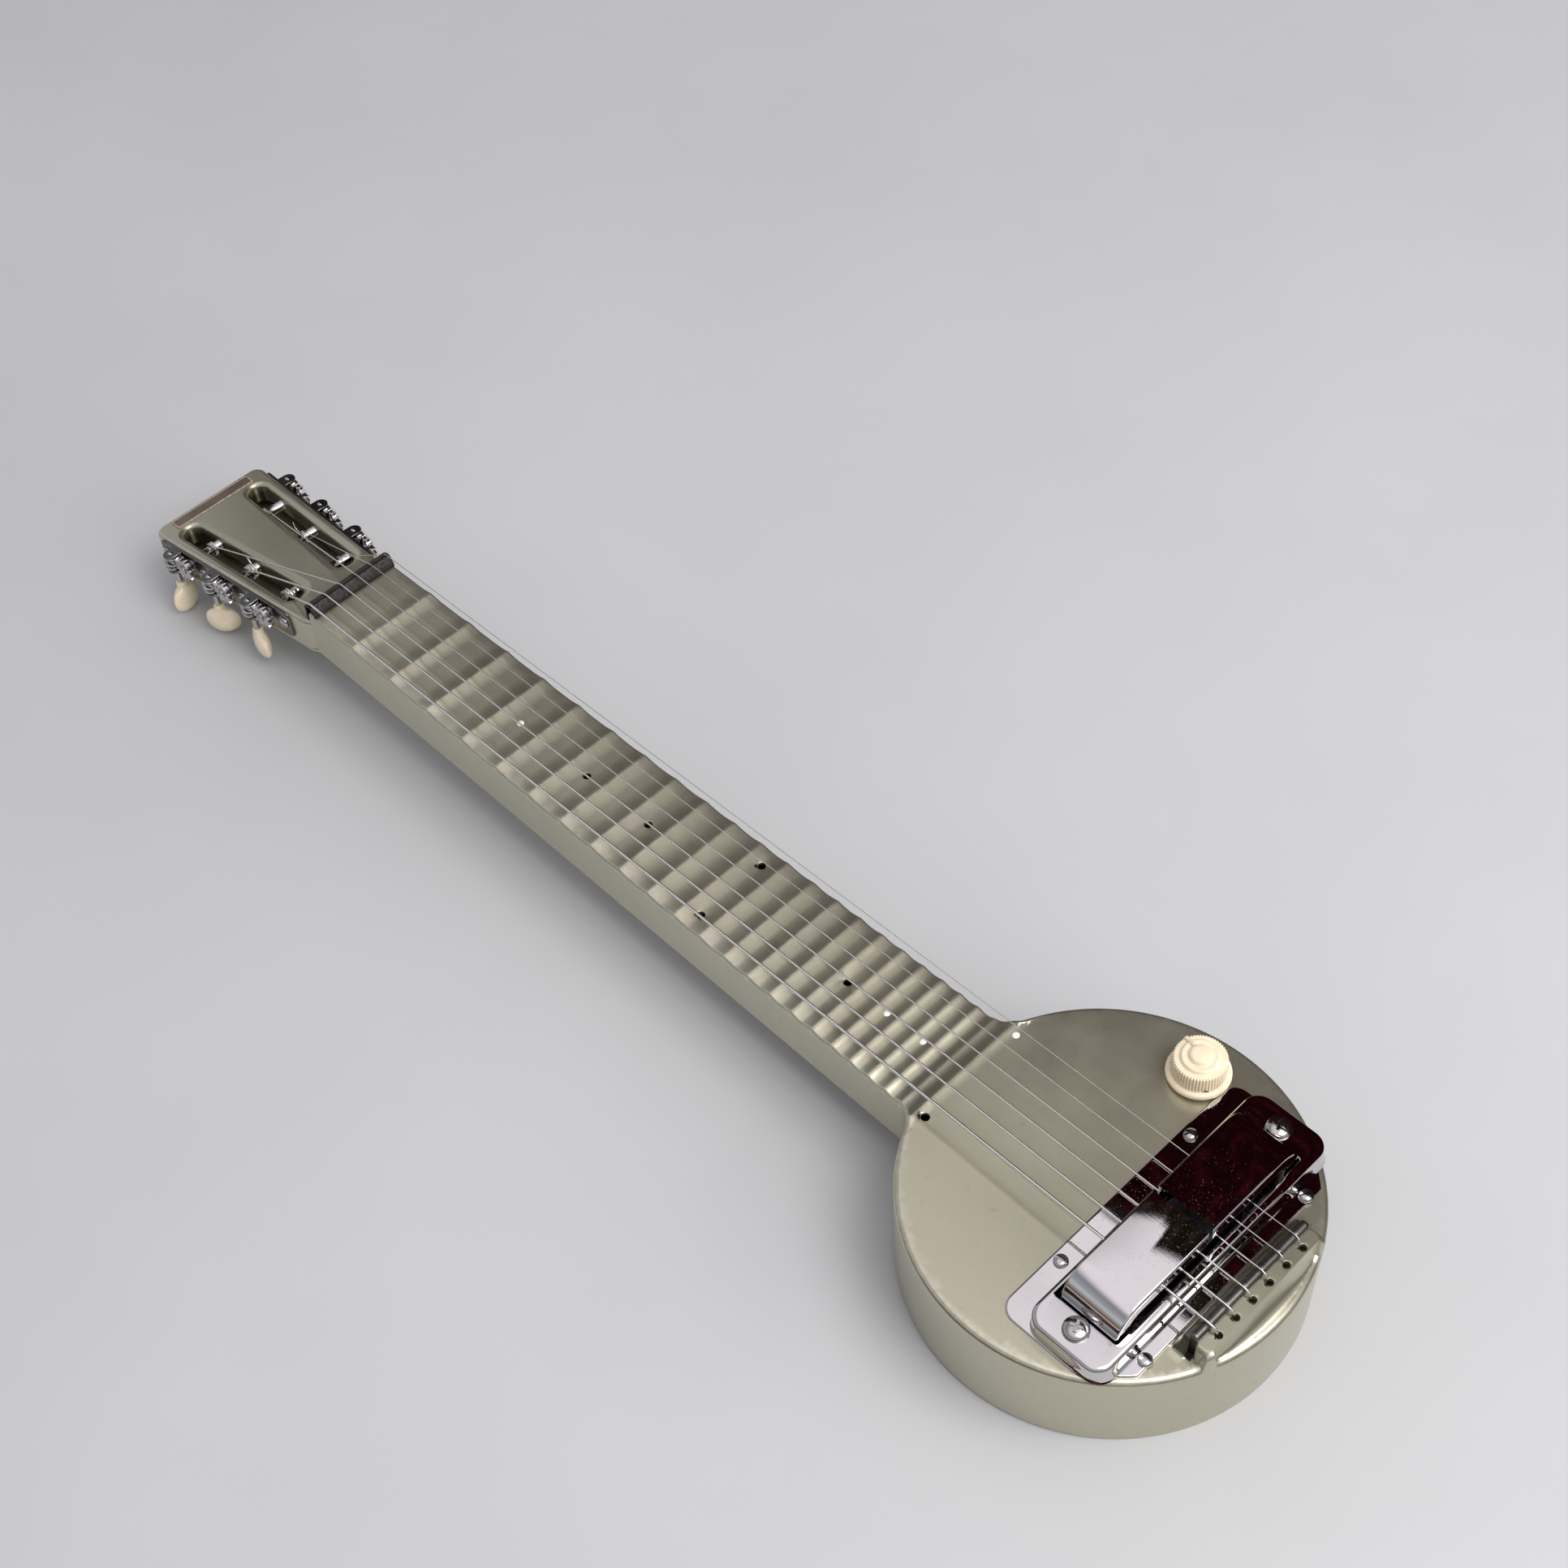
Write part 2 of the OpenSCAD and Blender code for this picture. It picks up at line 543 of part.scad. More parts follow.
module tuner_button(i) color([0.95, 0.9, 0.78]) tuner_frame(i)
    translate([-worm_offset, worm_y, -button_bottom + button_height / 2]) rotate([0, 0, button_turn[i - 1]])
    difference() {
        union() {
            intersection() {
                rotate([90, 0, 0]) cylinder(r = button_width / 2, h = button_thick, center = true);
                cube([button_width, button_thick, button_height], center = true);
                rotate([90, 0, 0]) translate([0, 0, -14]) sphere(r = 19);
                rotate([90, 0, 0]) translate([0, 0, 14]) sphere(r = 19);
            }
            cylinder(r = 3, h = button_height / 2 + 2.5);
        }
        translate([0, 0, -2.5]) cylinder(r = worm_pin + tiny, h = 20);
    }

// ---- Pickup ----

module pickup_base_plate() color([0.8, 0.8, 0.82]) difference() {
    intersection() {
        translate([0, 0, body_top + tiny]) linear_extrude(sheet - tiny)
            rounded_rect(plate_front, plate_rear, plate_half, 9);
        translate([body_x, 0, 0]) cylinder(r = body_radius - 3, h = 10, $fn = 96);
    }
    magnet_window();
    for (side = SIDES) {
        translate([cover_screw.x, side * cover_screw.y, 0]) cylinder(r = 2.3, h = 8);
        for (p = plate_screws) translate([p.x, side * p.y, 0]) cylinder(r = 1.3, h = 8);
    }
}
module round_screw(r, h, shank, long) {
    ball = (r * r + h * h) / (2 * h);
    intersection() {
        cylinder(r = r, h = h);
        translate([0, 0, h - ball]) sphere(r = ball);
    }
    translate([0, 0, -long]) cylinder(r = shank, h = long + 0.3);
}
module base_plate_screws() color("silver")
    for (p = plate_screws, side = SIDES)
        translate([p.x, side * p.y, plate_top + tiny]) rotate([0, 0, p.z]) difference() {
            round_screw(3.1, 1.9, 1.25, 5);
            translate([-4, -0.4, 1]) cube([8, 0.8, 2]);
        }
module pickup_cover() color([0.82, 0.82, 0.84]) difference() {
    translate([0, 0, plate_top + tiny]) linear_extrude(cover_top - plate_top - tiny)
        rounded_rect(cover_front, cover_rear, cover_half, 8);
    translate([0, 0, plate_top - 1]) linear_extrude(cover_top - sheet - plate_top + 1)
        rounded_rect(cover_front + sheet, cover_rear - sheet, cover_half - sheet, 8 - sheet);
    translate([521, -57.6, 0]) cube([34, 115.2, 20]);
    for (side = SIDES) translate([cover_screw.x, side * cover_screw.y, 0]) cylinder(r = 2.3, h = 20);
}
module cover_screws() color("silver") for (side = SIDES)
    translate([cover_screw.x, side * cover_screw.y, cover_top + tiny]) difference() {
        round_screw(5.4, 2.4, 2.25, 15);
        for (a = [20, 110]) rotate([0, 0, a]) translate([-2.4, -0.5, 1.2]) cube([4.8, 1, 3]);
    }
// A magnet is a U on its side: one limb over the strings and one under the coil
module u_plan(near, far, low, high, r) {
    translate([near, low]) square([far - r - near, high - low]);
    translate([far - r - tiny, low + r]) square([r + tiny, high - low - 2 * r]);
    for (z = [low + r, high - r]) translate([far - r, z]) circle(r = r);
}
module magnet(side) color([0.78, 0.78, 0.8]) on_side(side)
    translate([pickup_x - magnet_width / 2, 0, 0]) rotate([90, 0, 90]) linear_extrude(magnet_width)
    difference() {
        u_plan(magnet_gap, magnet_reach, -18, magnet_top, 14);
        u_plan(magnet_gap - 1, magnet_reach - magnet_thick, -18 + magnet_thick, magnet_top - magnet_thick, 6);
    }
bobbin_low = -18 + magnet_thick + fit_gap;
function pole_y(i) = string_y(i, nut_pitch + (bridge_pitch - nut_pitch) * pickup_x / bridge_x);
module coil_bobbin() color([0.12, 0.12, 0.12]) difference() {
    union() {
        for (z = [bobbin_low, 9.5]) translate([pickup_x - 12, -34, z]) cube([24, 68, 1.6]);
        translate([pickup_x - 4, -31, bobbin_low]) cube([8, 62, 9.5 - bobbin_low]);
    }
    for (i = STRINGS) translate([pickup_x, pole_y(i), -15]) cylinder(r = 2.45, h = 30);
}
module coil_winding() color([0.5, 0.2, 0.1])
    translate([0, 0, bobbin_low + 1.6 + tiny]) linear_extrude(9.5 - bobbin_low - 1.6 - 2 * tiny) difference() {
        rounded_rect(pickup_x - 10, pickup_x + 10, 33, 5);
        translate([pickup_x - 4 - tiny, -31 - tiny]) square([8 + 2 * tiny, 62 + 2 * tiny]);
    }
module pole_pieces() color("silver") for (i = STRINGS)
    translate([pickup_x, pole_y(i), bobbin_low]) cylinder(r = 2.4, h = 12.3 - bobbin_low);

// ---- Volume control and output ----

knob_low = 3.5;
crown_top = 15;
module volume_knob() color([1, 0.93, 0.8]) translate([knob_x, knob_y, 0]) difference() {
    union() {
        rotate_extrude() polygon([
            [0, knob_low], [knob_radius - 0.4, knob_low], [knob_radius, knob_low + 0.5],
            [knob_radius, knob_low + 1.3], [knob_radius - 1.2, knob_low + 2.4], [12.3, knob_low + 2.8],
            [11.8, crown_top - 0.6], [11.2, crown_top - 0.1], [9.1, crown_top], [8.7, crown_top + 0.8],
            [6.9, crown_top + 1.1], [6.5, crown_top + 1.7], [5, crown_top + 2], [4, crown_top + 2.6], [0, crown_top + 3]
        ]);
        rotate([0, 0, 162]) translate([5, -1, crown_top - 1]) cube([6.5, 2, 2.2]);
    }
    translate([0, 0, -1]) cylinder(r = 9, h = 9);
    translate([0, 0, 0]) cylinder(r = 3.2 + tiny, h = 13);
}
module pot_shaft() color("silver") translate([knob_x, knob_y, -14]) cylinder(r = 3.2, h = 27 - tiny);
module volume_pot() color([0.7, 0.68, 0.6]) translate([knob_x, knob_y, 0]) difference() {
    union() {
        translate([0, 0, -16]) cylinder(r = 12, h = 11);
        translate([0, 0, -5]) cylinder(r = 4.8, h = 12);
        translate([0, 0, -5]) cylinder(r = 8, h = 5.6);
        for (x = [-5, 0, 5]) translate([x - 1, -17, -13]) cube([2, 6, 0.8]);
    }
    translate([0, 0, -14 - 0.3]) cylinder(r = 3.2 + fit_gap, h = 40);
}
module pot_nut() color("silver") translate([knob_x, knob_y, body_top + tiny]) hex_nut(12.5, 4.85, 2.6);
module output_jack() color([0.75, 0.72, 0.6]) translate([body_x, 0, jack_z]) rotate([0, 90, jack_angle])
    difference() {
    union() {
        translate([0, 0, body_radius - 24]) cylinder(r = 8, h = 22.6);
        translate([0, 0, body_radius - 1.4]) cylinder(r = 4.8, h = 5.4);
    }
    translate([0, 0, body_radius - 22]) cylinder(r = 3.2, h = 40);
}
module jack_nut() color("silver") translate([body_x, 0, jack_z]) rotate([0, 90, jack_angle])
    translate([0, 0, body_radius + 0.15]) hex_nut(12.7, 4.85, 2.4);
module wiring() color([0.15, 0.14, 0.12]) {
    wire([[525, 20, -7], [519, 27, -11], [510, 38, -22], [504, 44, -26], [498.4, 48.6, -13.6]], 0.9);
    wire([[488.4, 48.6, -13.6], [484, 44, -22], [474, 44, -24], [466.6, 49.6, -24]], 0.9);
}

// ---- Nodes ----

laid_down() {
    body_shell();
    body_wall();
    back_plate();
    back_plate_lugs();
    back_plate_screws();
    neck_back_cover();
    nut();
    fret_marker_dots();
    nameplate();
    tuner_strip(-1);  // tuner_strip_bass
    tuner_strip(1);  // tuner_strip_treble
    tuner_strip_screws();
    for (i = STRINGS) {
        tuner_post(i);
        tuner_gear(i);
        tuner_worm(i);
        tuner_button(i);
        string(i);
    }
    string_ball_ends();
    bridge_rod();
    pickup_base_plate();
    base_plate_screws();
    pickup_cover();
    cover_screws();
    magnet(-1);  // magnet_bass
    magnet(1);  // magnet_treble
    coil_bobbin();
    coil_winding();
    pole_pieces();
    volume_knob();
    pot_shaft();
    volume_pot();
    pot_nut();
    output_jack();
    jack_nut();
    wiring();
}
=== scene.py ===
"""Electric lap steel guitar: detailed pieces, finishes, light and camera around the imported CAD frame.

Shapes are in millimetres in the guitar's own frame: X from the nut to the tail, Y towards the treble side,
Z up from the fretboard's ridges. GUITAR, HEAD and TUNER take them into the row frame, in metres.
"""
import json
from math import asin, atan, atan2, copysign, cos, exp, hypot, log2, pi, radians, sin, sqrt

import bmesh
import bpy
from mathutils import Matrix, Vector, geometry


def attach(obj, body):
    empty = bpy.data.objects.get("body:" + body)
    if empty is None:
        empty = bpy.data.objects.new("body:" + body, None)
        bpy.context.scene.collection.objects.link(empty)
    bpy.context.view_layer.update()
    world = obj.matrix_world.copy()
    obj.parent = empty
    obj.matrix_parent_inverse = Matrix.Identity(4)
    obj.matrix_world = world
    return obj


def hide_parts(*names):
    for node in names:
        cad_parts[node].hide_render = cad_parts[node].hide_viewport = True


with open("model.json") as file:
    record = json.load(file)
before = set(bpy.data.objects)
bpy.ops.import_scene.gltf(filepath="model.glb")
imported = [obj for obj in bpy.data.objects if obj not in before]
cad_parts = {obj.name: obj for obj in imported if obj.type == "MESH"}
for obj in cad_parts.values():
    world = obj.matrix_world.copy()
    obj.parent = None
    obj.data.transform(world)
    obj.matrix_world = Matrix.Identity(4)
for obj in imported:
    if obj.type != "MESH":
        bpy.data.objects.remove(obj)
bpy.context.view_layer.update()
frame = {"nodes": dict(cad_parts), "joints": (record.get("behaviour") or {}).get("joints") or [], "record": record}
nodes = frame["nodes"]
joints = {j["name"]: j for j in frame["joints"]}
MM = 0.001

# ---- Driving sizes of the guitar, in millimetres ----

SCALE_LENGTH = 571.5
BRIDGE_X = 573.0
NUT_PITCH, BRIDGE_PITCH = 9.71, 10.8
NUT_HEIGHT = 5.3
NECK_HALF_NUT, NECK_HALF_BODY = 25.7, 30.0
NECK_FLAT, NECK_LOW = -1.2, -27.4
BODY_X, BODY_R = 501.5, 89.0
BODY_TOP, WALL_LOW = 2.0, -44.8
SHOULDER_R = 13.0
HEAD_SLOPE, HEAD_DROP, HEAD_LENGTH = 6.56, 8.3, 133.9
HEAD_HALF_NUT, HEAD_HALF_END = 27.3, 35.2
SLOT_R = 5.8
KNOB = Vector((493.4, 66.9, 5.0))
POST_DEPTH, POST_R, WORM_OFFSET, WORM_Y = 7.0, 3.0, 10.3, 5.2
GEAR_TEETH, GEAR_MODULE = 14, 0.93
STRING_R = (0.70, 0.58, 0.48, 0.38, 0.25, 0.20)
WRAP_Y = (-18.5, -19.2, -20.5, 16.6, 18.6, 18.2)
BUTTON_TURN = (20, -35, 75, 10, 55, -20)
BUTTON_BOTTOM, BUTTON_HEIGHT, BUTTON_WIDTH, BUTTON_THICK = 39.0, 16.0, 19.0, 8.0
STRINGS = range(1, 7)
SIDES = (-1, 1)

# ---- Frames, worked out from the joints ----

def shift(x, y, z):
    return Matrix.Translation((x, y, z))


def spin(degrees, axis="Z"):
    return Matrix.Rotation(radians(degrees), 4, axis)


knob_axis, knob_spot = (Vector(joints["volume_turn"][key]) for key in ("axis", "pos_m"))
REST_TURN = Matrix.Rotation(atan2(knob_axis.x, knob_axis.z), 4, "Y")
GUITAR = Matrix.Translation(knob_spot - REST_TURN @ (KNOB * MM)) @ REST_TURN @ Matrix.Scale(MM, 4)
HEAD = GUITAR @ shift(0, 0, -HEAD_DROP) @ spin(-HEAD_SLOPE, "Y")
ON_Y, OUTWARDS = spin(90, "X"), spin(-90, "X")


def tuner_frame(i):
    """At the side wall beside post i: X along the wall to the nut, Y outwards, Z off the headstock's face."""
    roller, key = joints[f"roller_turn_{i}"], joints[f"key_turn_{i}"]
    out, up = Vector(roller["axis"]), Vector(key["axis"])
    along = (Vector(roller["pos_m"]) - Vector(key["pos_m"])).normalized()
    origin = Vector(roller["pos_m"]) - out * WORM_Y * MM + up * POST_DEPTH * MM
    turn = Matrix((along, out, up)).transposed().to_4x4()
    return Matrix.Translation(origin) @ turn @ Matrix.Scale(MM, 4)


TUNER = {i: tuner_frame(i) for i in STRINGS}


def fret_x(n):
    return SCALE_LENGTH * (1 - 2 ** (-n / 12))


def between_frets(n):
    return (fret_x(n - 1) + fret_x(n)) / 2


def string_y(i, pitch):
    return pitch * (i - 3.5)


def smooth(a, b, x):
    t = min(1.0, max(0.0, (x - a) / (b - a)))
    return t * t * (3 - 2 * t)


def arc(start, end, steps):
    """Even steps from start to end, both included."""
    return [start + (end - start) * k / steps for k in range(steps + 1)]


def full_turn(steps):
    return [2 * pi * k / steps for k in range(steps)]


def polar(r, a, x=0.0, y=0.0):
    return (x + r * cos(a), y + r * sin(a))


# ---- Mesh tools ----

NO_CAPS = (False, False)


def new_object(name, bm):
    """Turns a bmesh into an object in the scene."""
    mesh = bpy.data.meshes.new(name)
    bm.to_mesh(mesh)
    bm.free()
    made = bpy.data.objects.new(name, mesh)
    bpy.context.scene.collection.objects.link(made)
    return made


def add_piece(name, bm, place, slot_name, replaces=(), body="root", sharp=38, wear_and_shade=None, finish=None):
    """Turns a bmesh in local millimetres into a piece of the object."""
    bmesh.ops.transform(bm, matrix=place, verts=bm.verts)
    bmesh.ops.recalc_face_normals(bm, faces=bm.faces)
    piece = new_object(name, bm)
    mesh = piece.data
    mesh.shade_smooth()
    mesh.set_sharp_from_angle(angle=radians(sharp))
    mesh.materials.append(finish or MATERIALS[slot_name])
    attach(piece, body)
    if replaces:
        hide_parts(*replaces)
    # The per-point value lightens rubbed places and, where it is negative, paints shade.
    if wear_and_shade is not None:
        mesh.attributes.new("wear_and_shade", "FLOAT", "POINT").data.foreach_set("value", wear_and_shade)


def new_ring(bm, points):
    return [bm.verts.new(p) for p in points]


def bridge(bm, a, b, closed=True):
    n = len(a)
    for k in range(n if closed else n - 1):
        m = (k + 1) % n
        corners = (a[k], a[m], b[m], b[k])
        unique = [v for j, v in enumerate(corners) if v not in corners[:j]]
        if len(unique) > 2:
            bm.faces.new(unique)


def loft(bm, rings, closed=True, caps=(True, True)):
    made = [new_ring(bm, r) for r in rings]
    for a, b in zip(made, made[1:]):
        bridge(bm, a, b, closed)
    if caps[0]:
        bm.faces.new(made[0])
    if caps[1]:
        bm.faces.new(made[-1])
    return made


def lathe(bm, profile, steps, place=Matrix(), shape=None):
    """Turns a profile of (radius, height) about Z. shape(radius, height, angle) may change a radius."""
    loft(bm, [[place @ Vector((*polar(shape(r, z, a) if shape else r, a), z)) for a in full_turn(steps)]
              for r, z in profile])


def tube(bm, route, radius, sides):
    """A round wire along a route."""
    rings = []
    last = len(route) - 1
    side = (route[1] - route[0]).normalized().orthogonal().normalized()
    for k, p in enumerate(route):
        way = (route[min(k + 1, last)] - route[max(k - 1, 0)]).normalized()
        side = (side - way * side.dot(way)).normalized()
        up = way.cross(side)
        rings.append([p + radius * (cos(a) * side + sin(a) * up) for a in full_turn(sides)])
    loft(bm, rings)


def rounded_rect(x0, x1, y0, y1, r, steps):
    corners = ((x1 - r, y1 - r, 0), (x0 + r, y1 - r, 90), (x0 + r, y0 + r, 180), (x1 - r, y0 + r, 270))
    return [polar(r, radians(a), x, y) for x, y, start in corners for a in arc(start, start + 90, steps)]


def at_height(points, z):
    return [(x, y, z) for x, y in points]


def quarter_roll(r, steps=6):
    """Inset and drop along a rounded edge, from the wall to the top, with one flat ring behind it."""
    return [(r * (1 - cos(t)), r * (1 - sin(t))) for t in arc(0, pi / 2, steps)] + [(r + 0.35, 0.0)]


def box(bm, lo, hi, place=Matrix()):
    for v in bmesh.ops.create_cube(bm, size=1)["verts"]:
        v.co = Vector(l + (c + 0.5) * (h - l) for l, c, h in zip(lo, v.co, hi))
        v.co = place @ v.co


def cut_from(bm, cutter):
    """The first bmesh without the second, as a new bmesh."""
    whole, tool = new_object("cut", bm), new_object("cut", cutter)
    cut = whole.modifiers.new("cut", "BOOLEAN")
    cut.object = tool
    cut.operation = "DIFFERENCE"
    cut.solver = "EXACT"
    bpy.context.view_layer.update()
    result = bmesh.new()
    result.from_mesh(whole.evaluated_get(bpy.context.evaluated_depsgraph_get()).to_mesh())
    for o in (whole, tool):
        mesh = o.data
        bpy.data.objects.remove(o)
        bpy.data.meshes.remove(mesh)
    return result


# ---- Finishes ----

class Nodes:
    """Short words for building the node tree of a material or of the world."""

    def __init__(self, owner, shader="Principled BSDF", place="Object"):
        owner.use_nodes = True
        self.owner = owner
        self.tree = owner.node_tree
        self.shader = self.tree.nodes[shader]
        self.place = self.add("TexCoord").outputs[place]

    def feed(self, node, inputs):
        """Each input of a node gets a fixed value on its own socket, or a link from another node's output."""
        for key, value in inputs.items():
            if isinstance(value, bpy.types.NodeSocket):
                self.tree.links.new(value, node.inputs[key])
            else:
                node.inputs[key].default_value = value

    def add(self, kind, inputs={}, **settings):
        node = self.tree.nodes.new("ShaderNode" + kind)
        for key, value in settings.items():
            setattr(node, key, value)
        self.feed(node, inputs)
        return node

    def noise(self, scale, detail=3.0, rough=0.55, stretch=None):
        place = self.place
        if stretch:
            place = self.add("Mapping", {"Vector": place, "Scale": stretch}).outputs["Vector"]
        inputs = {"Vector": place, "Scale": scale, "Detail": detail, "Roughness": rough}
        return self.add("TexNoise", inputs).outputs["Fac"]

    def ranged(self, value, low, high, out_low, out_high):
        inputs = {"Value": value, "From Min": low, "From Max": high, "To Min": out_low, "To Max": out_high}
        return self.add("MapRange", inputs).outputs["Result"]

    def mixed(self, share, a, b):
        return self.add("Mix", {0: share, 6: a, 7: b}, data_type="RGBA").outputs[2]

    def calc(self, how, a, b):
        return self.add("Math", {0: a, 1: b}, operation=how).outputs[0]

    # Reads the per-point value of rubbing and painted shade.
    def wear_and_shade(self):
        return self.add("Attribute", attribute_name="wear_and_shade").outputs["Fac"]

    def finish(self, tone, roughness, heights, fixed={}):
        """Feeds the shader: tone, roughness, bumps as (height, metres, strength), and fixed numbers."""
        self.feed(self.shader, {"Base Color": tone, "Roughness": roughness, **fixed})
        normal = {}
        for height, distance, strength in heights:
            inputs = {"Strength": strength, "Distance": distance, "Height": height, **normal}
            normal = {"Normal": self.add("Bump", inputs).outputs["Normal"]}
        self.feed(self.shader, normal)
        return self.owner


def rgb(r, g, b):
    return (r, g, b, 1.0)


def base_finish(name, metallic, rough, spread, rough_scale, dark, light, blotch):
    """The common part: two tones in soft blotches and an uneven polish."""
    n = Nodes(bpy.data.materials.new(name))
    n.feed(n.shader, {"Metallic": metallic})
    n.tone = n.mixed(n.ranged(n.noise(blotch, 4), 0.35, 0.65, 0, 1), dark, light)
    n.polish = n.ranged(n.noise(rough_scale, 5, 0.6), 0.3, 0.7, rough - spread, rough + spread)
    return n


def body_paint():
    """Satin metallic lacquer: fine flake, hand haze, lighter where rubbed (positive values), and painted shade,
    darkened to near black, where the values are negative.
    """
    n = base_finish("body_paint", 0.88, 0.32, 0.05, 28, rgb(0.47, 0.455, 0.345), rgb(0.54, 0.52, 0.40), 14)
    tone = n.mixed(n.ranged(n.noise(2600, 2, 0.7), 0.3, 0.7, 0, 0.35), n.tone, rgb(0.66, 0.635, 0.51))
    tone = n.mixed(n.ranged(n.noise(160, 4, 0.65), 0.62, 0.75, 0, 0.25), tone, rgb(0.26, 0.235, 0.18))
    wear_and_shade = n.wear_and_shade()
    patch = n.ranged(n.noise(220, 5, 0.7), 0.42, 0.62, 0.2, 1)
    tone = n.mixed(n.calc("MULTIPLY", wear_and_shade, patch), tone, rgb(0.78, 0.75, 0.65))
    # Painted shade: negative values mix the lacquer towards near black.
    tone = n.mixed(n.ranged(wear_and_shade, -1, 0, 1, 0), tone, rgb(0.03, 0.026, 0.016))
    heights = [(n.noise(900, 2), 0.00004, 0.35), (n.noise(60, 2), 0.0004, 0.12)]
    return n.finish(tone, n.polish, heights, {"Coat Weight": 0.25, "Coat Roughness": 0.12})


def plated(name, dark, light, roughness, spread, scratch=0.25):
    """Plated metal with wiping marks, pits and a few fine scratches."""
    n = base_finish(name, 1.0, roughness, spread, 38, dark, light, 30)
    lines = n.noise(70, 6, 0.75, stretch=(1.0, 26.0, 6.0))
    pits = n.ranged(n.noise(1500, 2), 0.69, 0.75, 0, 1)
    tone = n.mixed(n.ranged(pits, 0, 1, 0, 0.35), n.tone, rgb(0.25, 0.24, 0.23))
    rough = n.calc("ADD", n.polish, n.ranged(lines, 0.58, 0.72, 0, spread * 1.6))
    return n.finish(tone, n.calc("MAXIMUM", rough, 0.02), [(lines, 0.00002, scratch), (pits, 0.00003, 0.3)])


def enamel(name, dark, light, roughness, worn=None, bump=0.25, shine=0.5):
    """Paint, plastic or fibre. Worn is the tone under it, where it can rub off."""
    n = base_finish(name, 0.0, roughness, 0.08, 90, dark, light, 60)
    tone = n.tone
    if worn:
        share = n.calc("MULTIPLY", n.wear_and_shade(), n.ranged(n.noise(700, 4), 0.35, 0.6, 0.3, 1))
        tone = n.mixed(share, tone, worn)
    return n.finish(tone, n.polish, [(n.noise(800, 3), 0.00005, bump)], {"Specular IOR Level": shine})


def celluloid():
    """Aged cream plastic: faint clouds, a waxy depth and handling haze."""
    n = base_finish("cream_plastic", 0.0, 0.26, 0.07, 120, rgb(0.82, 0.70, 0.50), rgb(0.90, 0.80, 0.61), 110)
    depth = {"Subsurface Weight": 0.06, "Subsurface Radius": (0.0025, 0.0016, 0.0008)}
    coat = {"Coat Weight": 0.3, "Coat Roughness": 0.12}
    return n.finish(n.tone, n.polish, [(n.noise(500, 3), 0.00004, 0.2)], {**depth, **coat})


def string_finish(name, wound):
    """Bright steel; a wound string has its wrap as fine rings along its length."""
    n = base_finish(name, 1.0, 0.24, 0.05, 300, rgb(0.90, 0.89, 0.87), rgb(0.97, 0.96, 0.94), 200)
    if wound:
        wave = n.add("TexWave", {"Scale": 380, "Vector": n.place}, wave_type="BANDS", bands_direction="X")
        return n.finish(n.tone, n.polish, [(wave.outputs["Fac"], 0.0001, 0.6)])
    return n.finish(n.tone, n.polish, [(n.noise(2000, 2), 0.00001, 0.3)])


MATERIALS = {
    "body_paint": body_paint(),
    "black_paint": enamel("black_paint", rgb(0.008, 0.006, 0.006), rgb(0.015, 0.012, 0.012), 0.5,
                          rgb(0.13, 0.115, 0.11), shine=0.22),
    "chrome": plated("chrome", rgb(0.64, 0.625, 0.64), rgb(0.70, 0.685, 0.70), 0.022, 0.01, 0.12),
    "nickel": plated("nickel", rgb(0.47, 0.46, 0.46), rgb(0.62, 0.61, 0.61), 0.15, 0.05),
    "dark_steel": plated("dark_steel", rgb(0.13, 0.125, 0.12), rgb(0.22, 0.215, 0.205), 0.27, 0.07, 0.5),
    "cream_plastic": celluloid(),
    "white_plastic": enamel("white_plastic", rgb(0.80, 0.79, 0.76), rgb(0.90, 0.89, 0.87), 0.22),
    "bronze_plate": enamel("bronze_plate", rgb(0.085, 0.066, 0.052), rgb(0.13, 0.10, 0.08), 0.36,
                           rgb(0.42, 0.36, 0.28)),
    "black_fibre": enamel("black_fibre", rgb(0.028, 0.029, 0.034), rgb(0.045, 0.046, 0.052), 0.38, bump=0.6),
    "copper": plated("copper", rgb(0.035, 0.014, 0.008), rgb(0.06, 0.024, 0.014), 0.45, 0.05),
    # Painted shade: the brass is darkened far below its own tone, so the ball ends seen through the string holes look
    # dark.
    "brass": plated("brass", rgb(0.08, 0.062, 0.04), rgb(0.13, 0.10, 0.06), 0.55, 0.08),
    "string_steel": string_finish("string_steel", False),
}
WOUND_STEEL = string_finish("string_steel_wound", True)


def dress_cad_nodes():
    """The hidden CAD pieces keep their own shapes and take their finish from their slots."""
    for part in frame["record"]["subparts"]:
        node = nodes[part["node"]]
        for held in node.material_slots:
            held.material = MATERIALS[part["material_slot"]]
        if not node.material_slots:
            node.data.materials.append(MATERIALS[part["material_slot"]])


# ---- Stamped body: plan, heights and mesh ----

SHOULDER_Y = NECK_HALF_BODY + SHOULDER_R
SHOULDER_X = BODY_X - sqrt((BODY_R + SHOULDER_R) ** 2 - SHOULDER_Y ** 2)
SHOULDER_A = atan2(SHOULDER_Y, BODY_X - SHOULDER_X)
PICKUP_X = 538.0
PAD_X, PAD_WIDE, PAD_HALF, PAD_CORNER, PAD_TOP = 578.25, 2.95, 37.0, 1.5, 12.0
HOLE_X = BRIDGE_X + 5.6
HOLE_PITCH = BRIDGE_PITCH - 0.2
STRING_HOLE_R = 1.65
ROD_Z, ROD_R, ROD_HALF = 13.15, 2.25, 35.0
NECK_STEP = 0.85
NECK_START = -3.0
NECK_ROWS = int((SHOULDER_X - NECK_START) / NECK_STEP)
RIM_ROLL, NECK_ROLL = 2.6, 1.3
LAST_FRET, RIDGE_HEIGHT = 23, 1.2
MOUTH_X, MOUTH_Y, MOUTH_WIDE, MOUTH_LONG = 573.55, 36.9, 1.05, 1.6
WELL_X0, WELL_X1, WELL_HALF = 521, 555, 58


def neck_half(x):
    return NECK_HALF_NUT + (NECK_HALF_BODY - NECK_HALF_NUT) * min(1.0, max(0.0, x / SHOULDER_X))


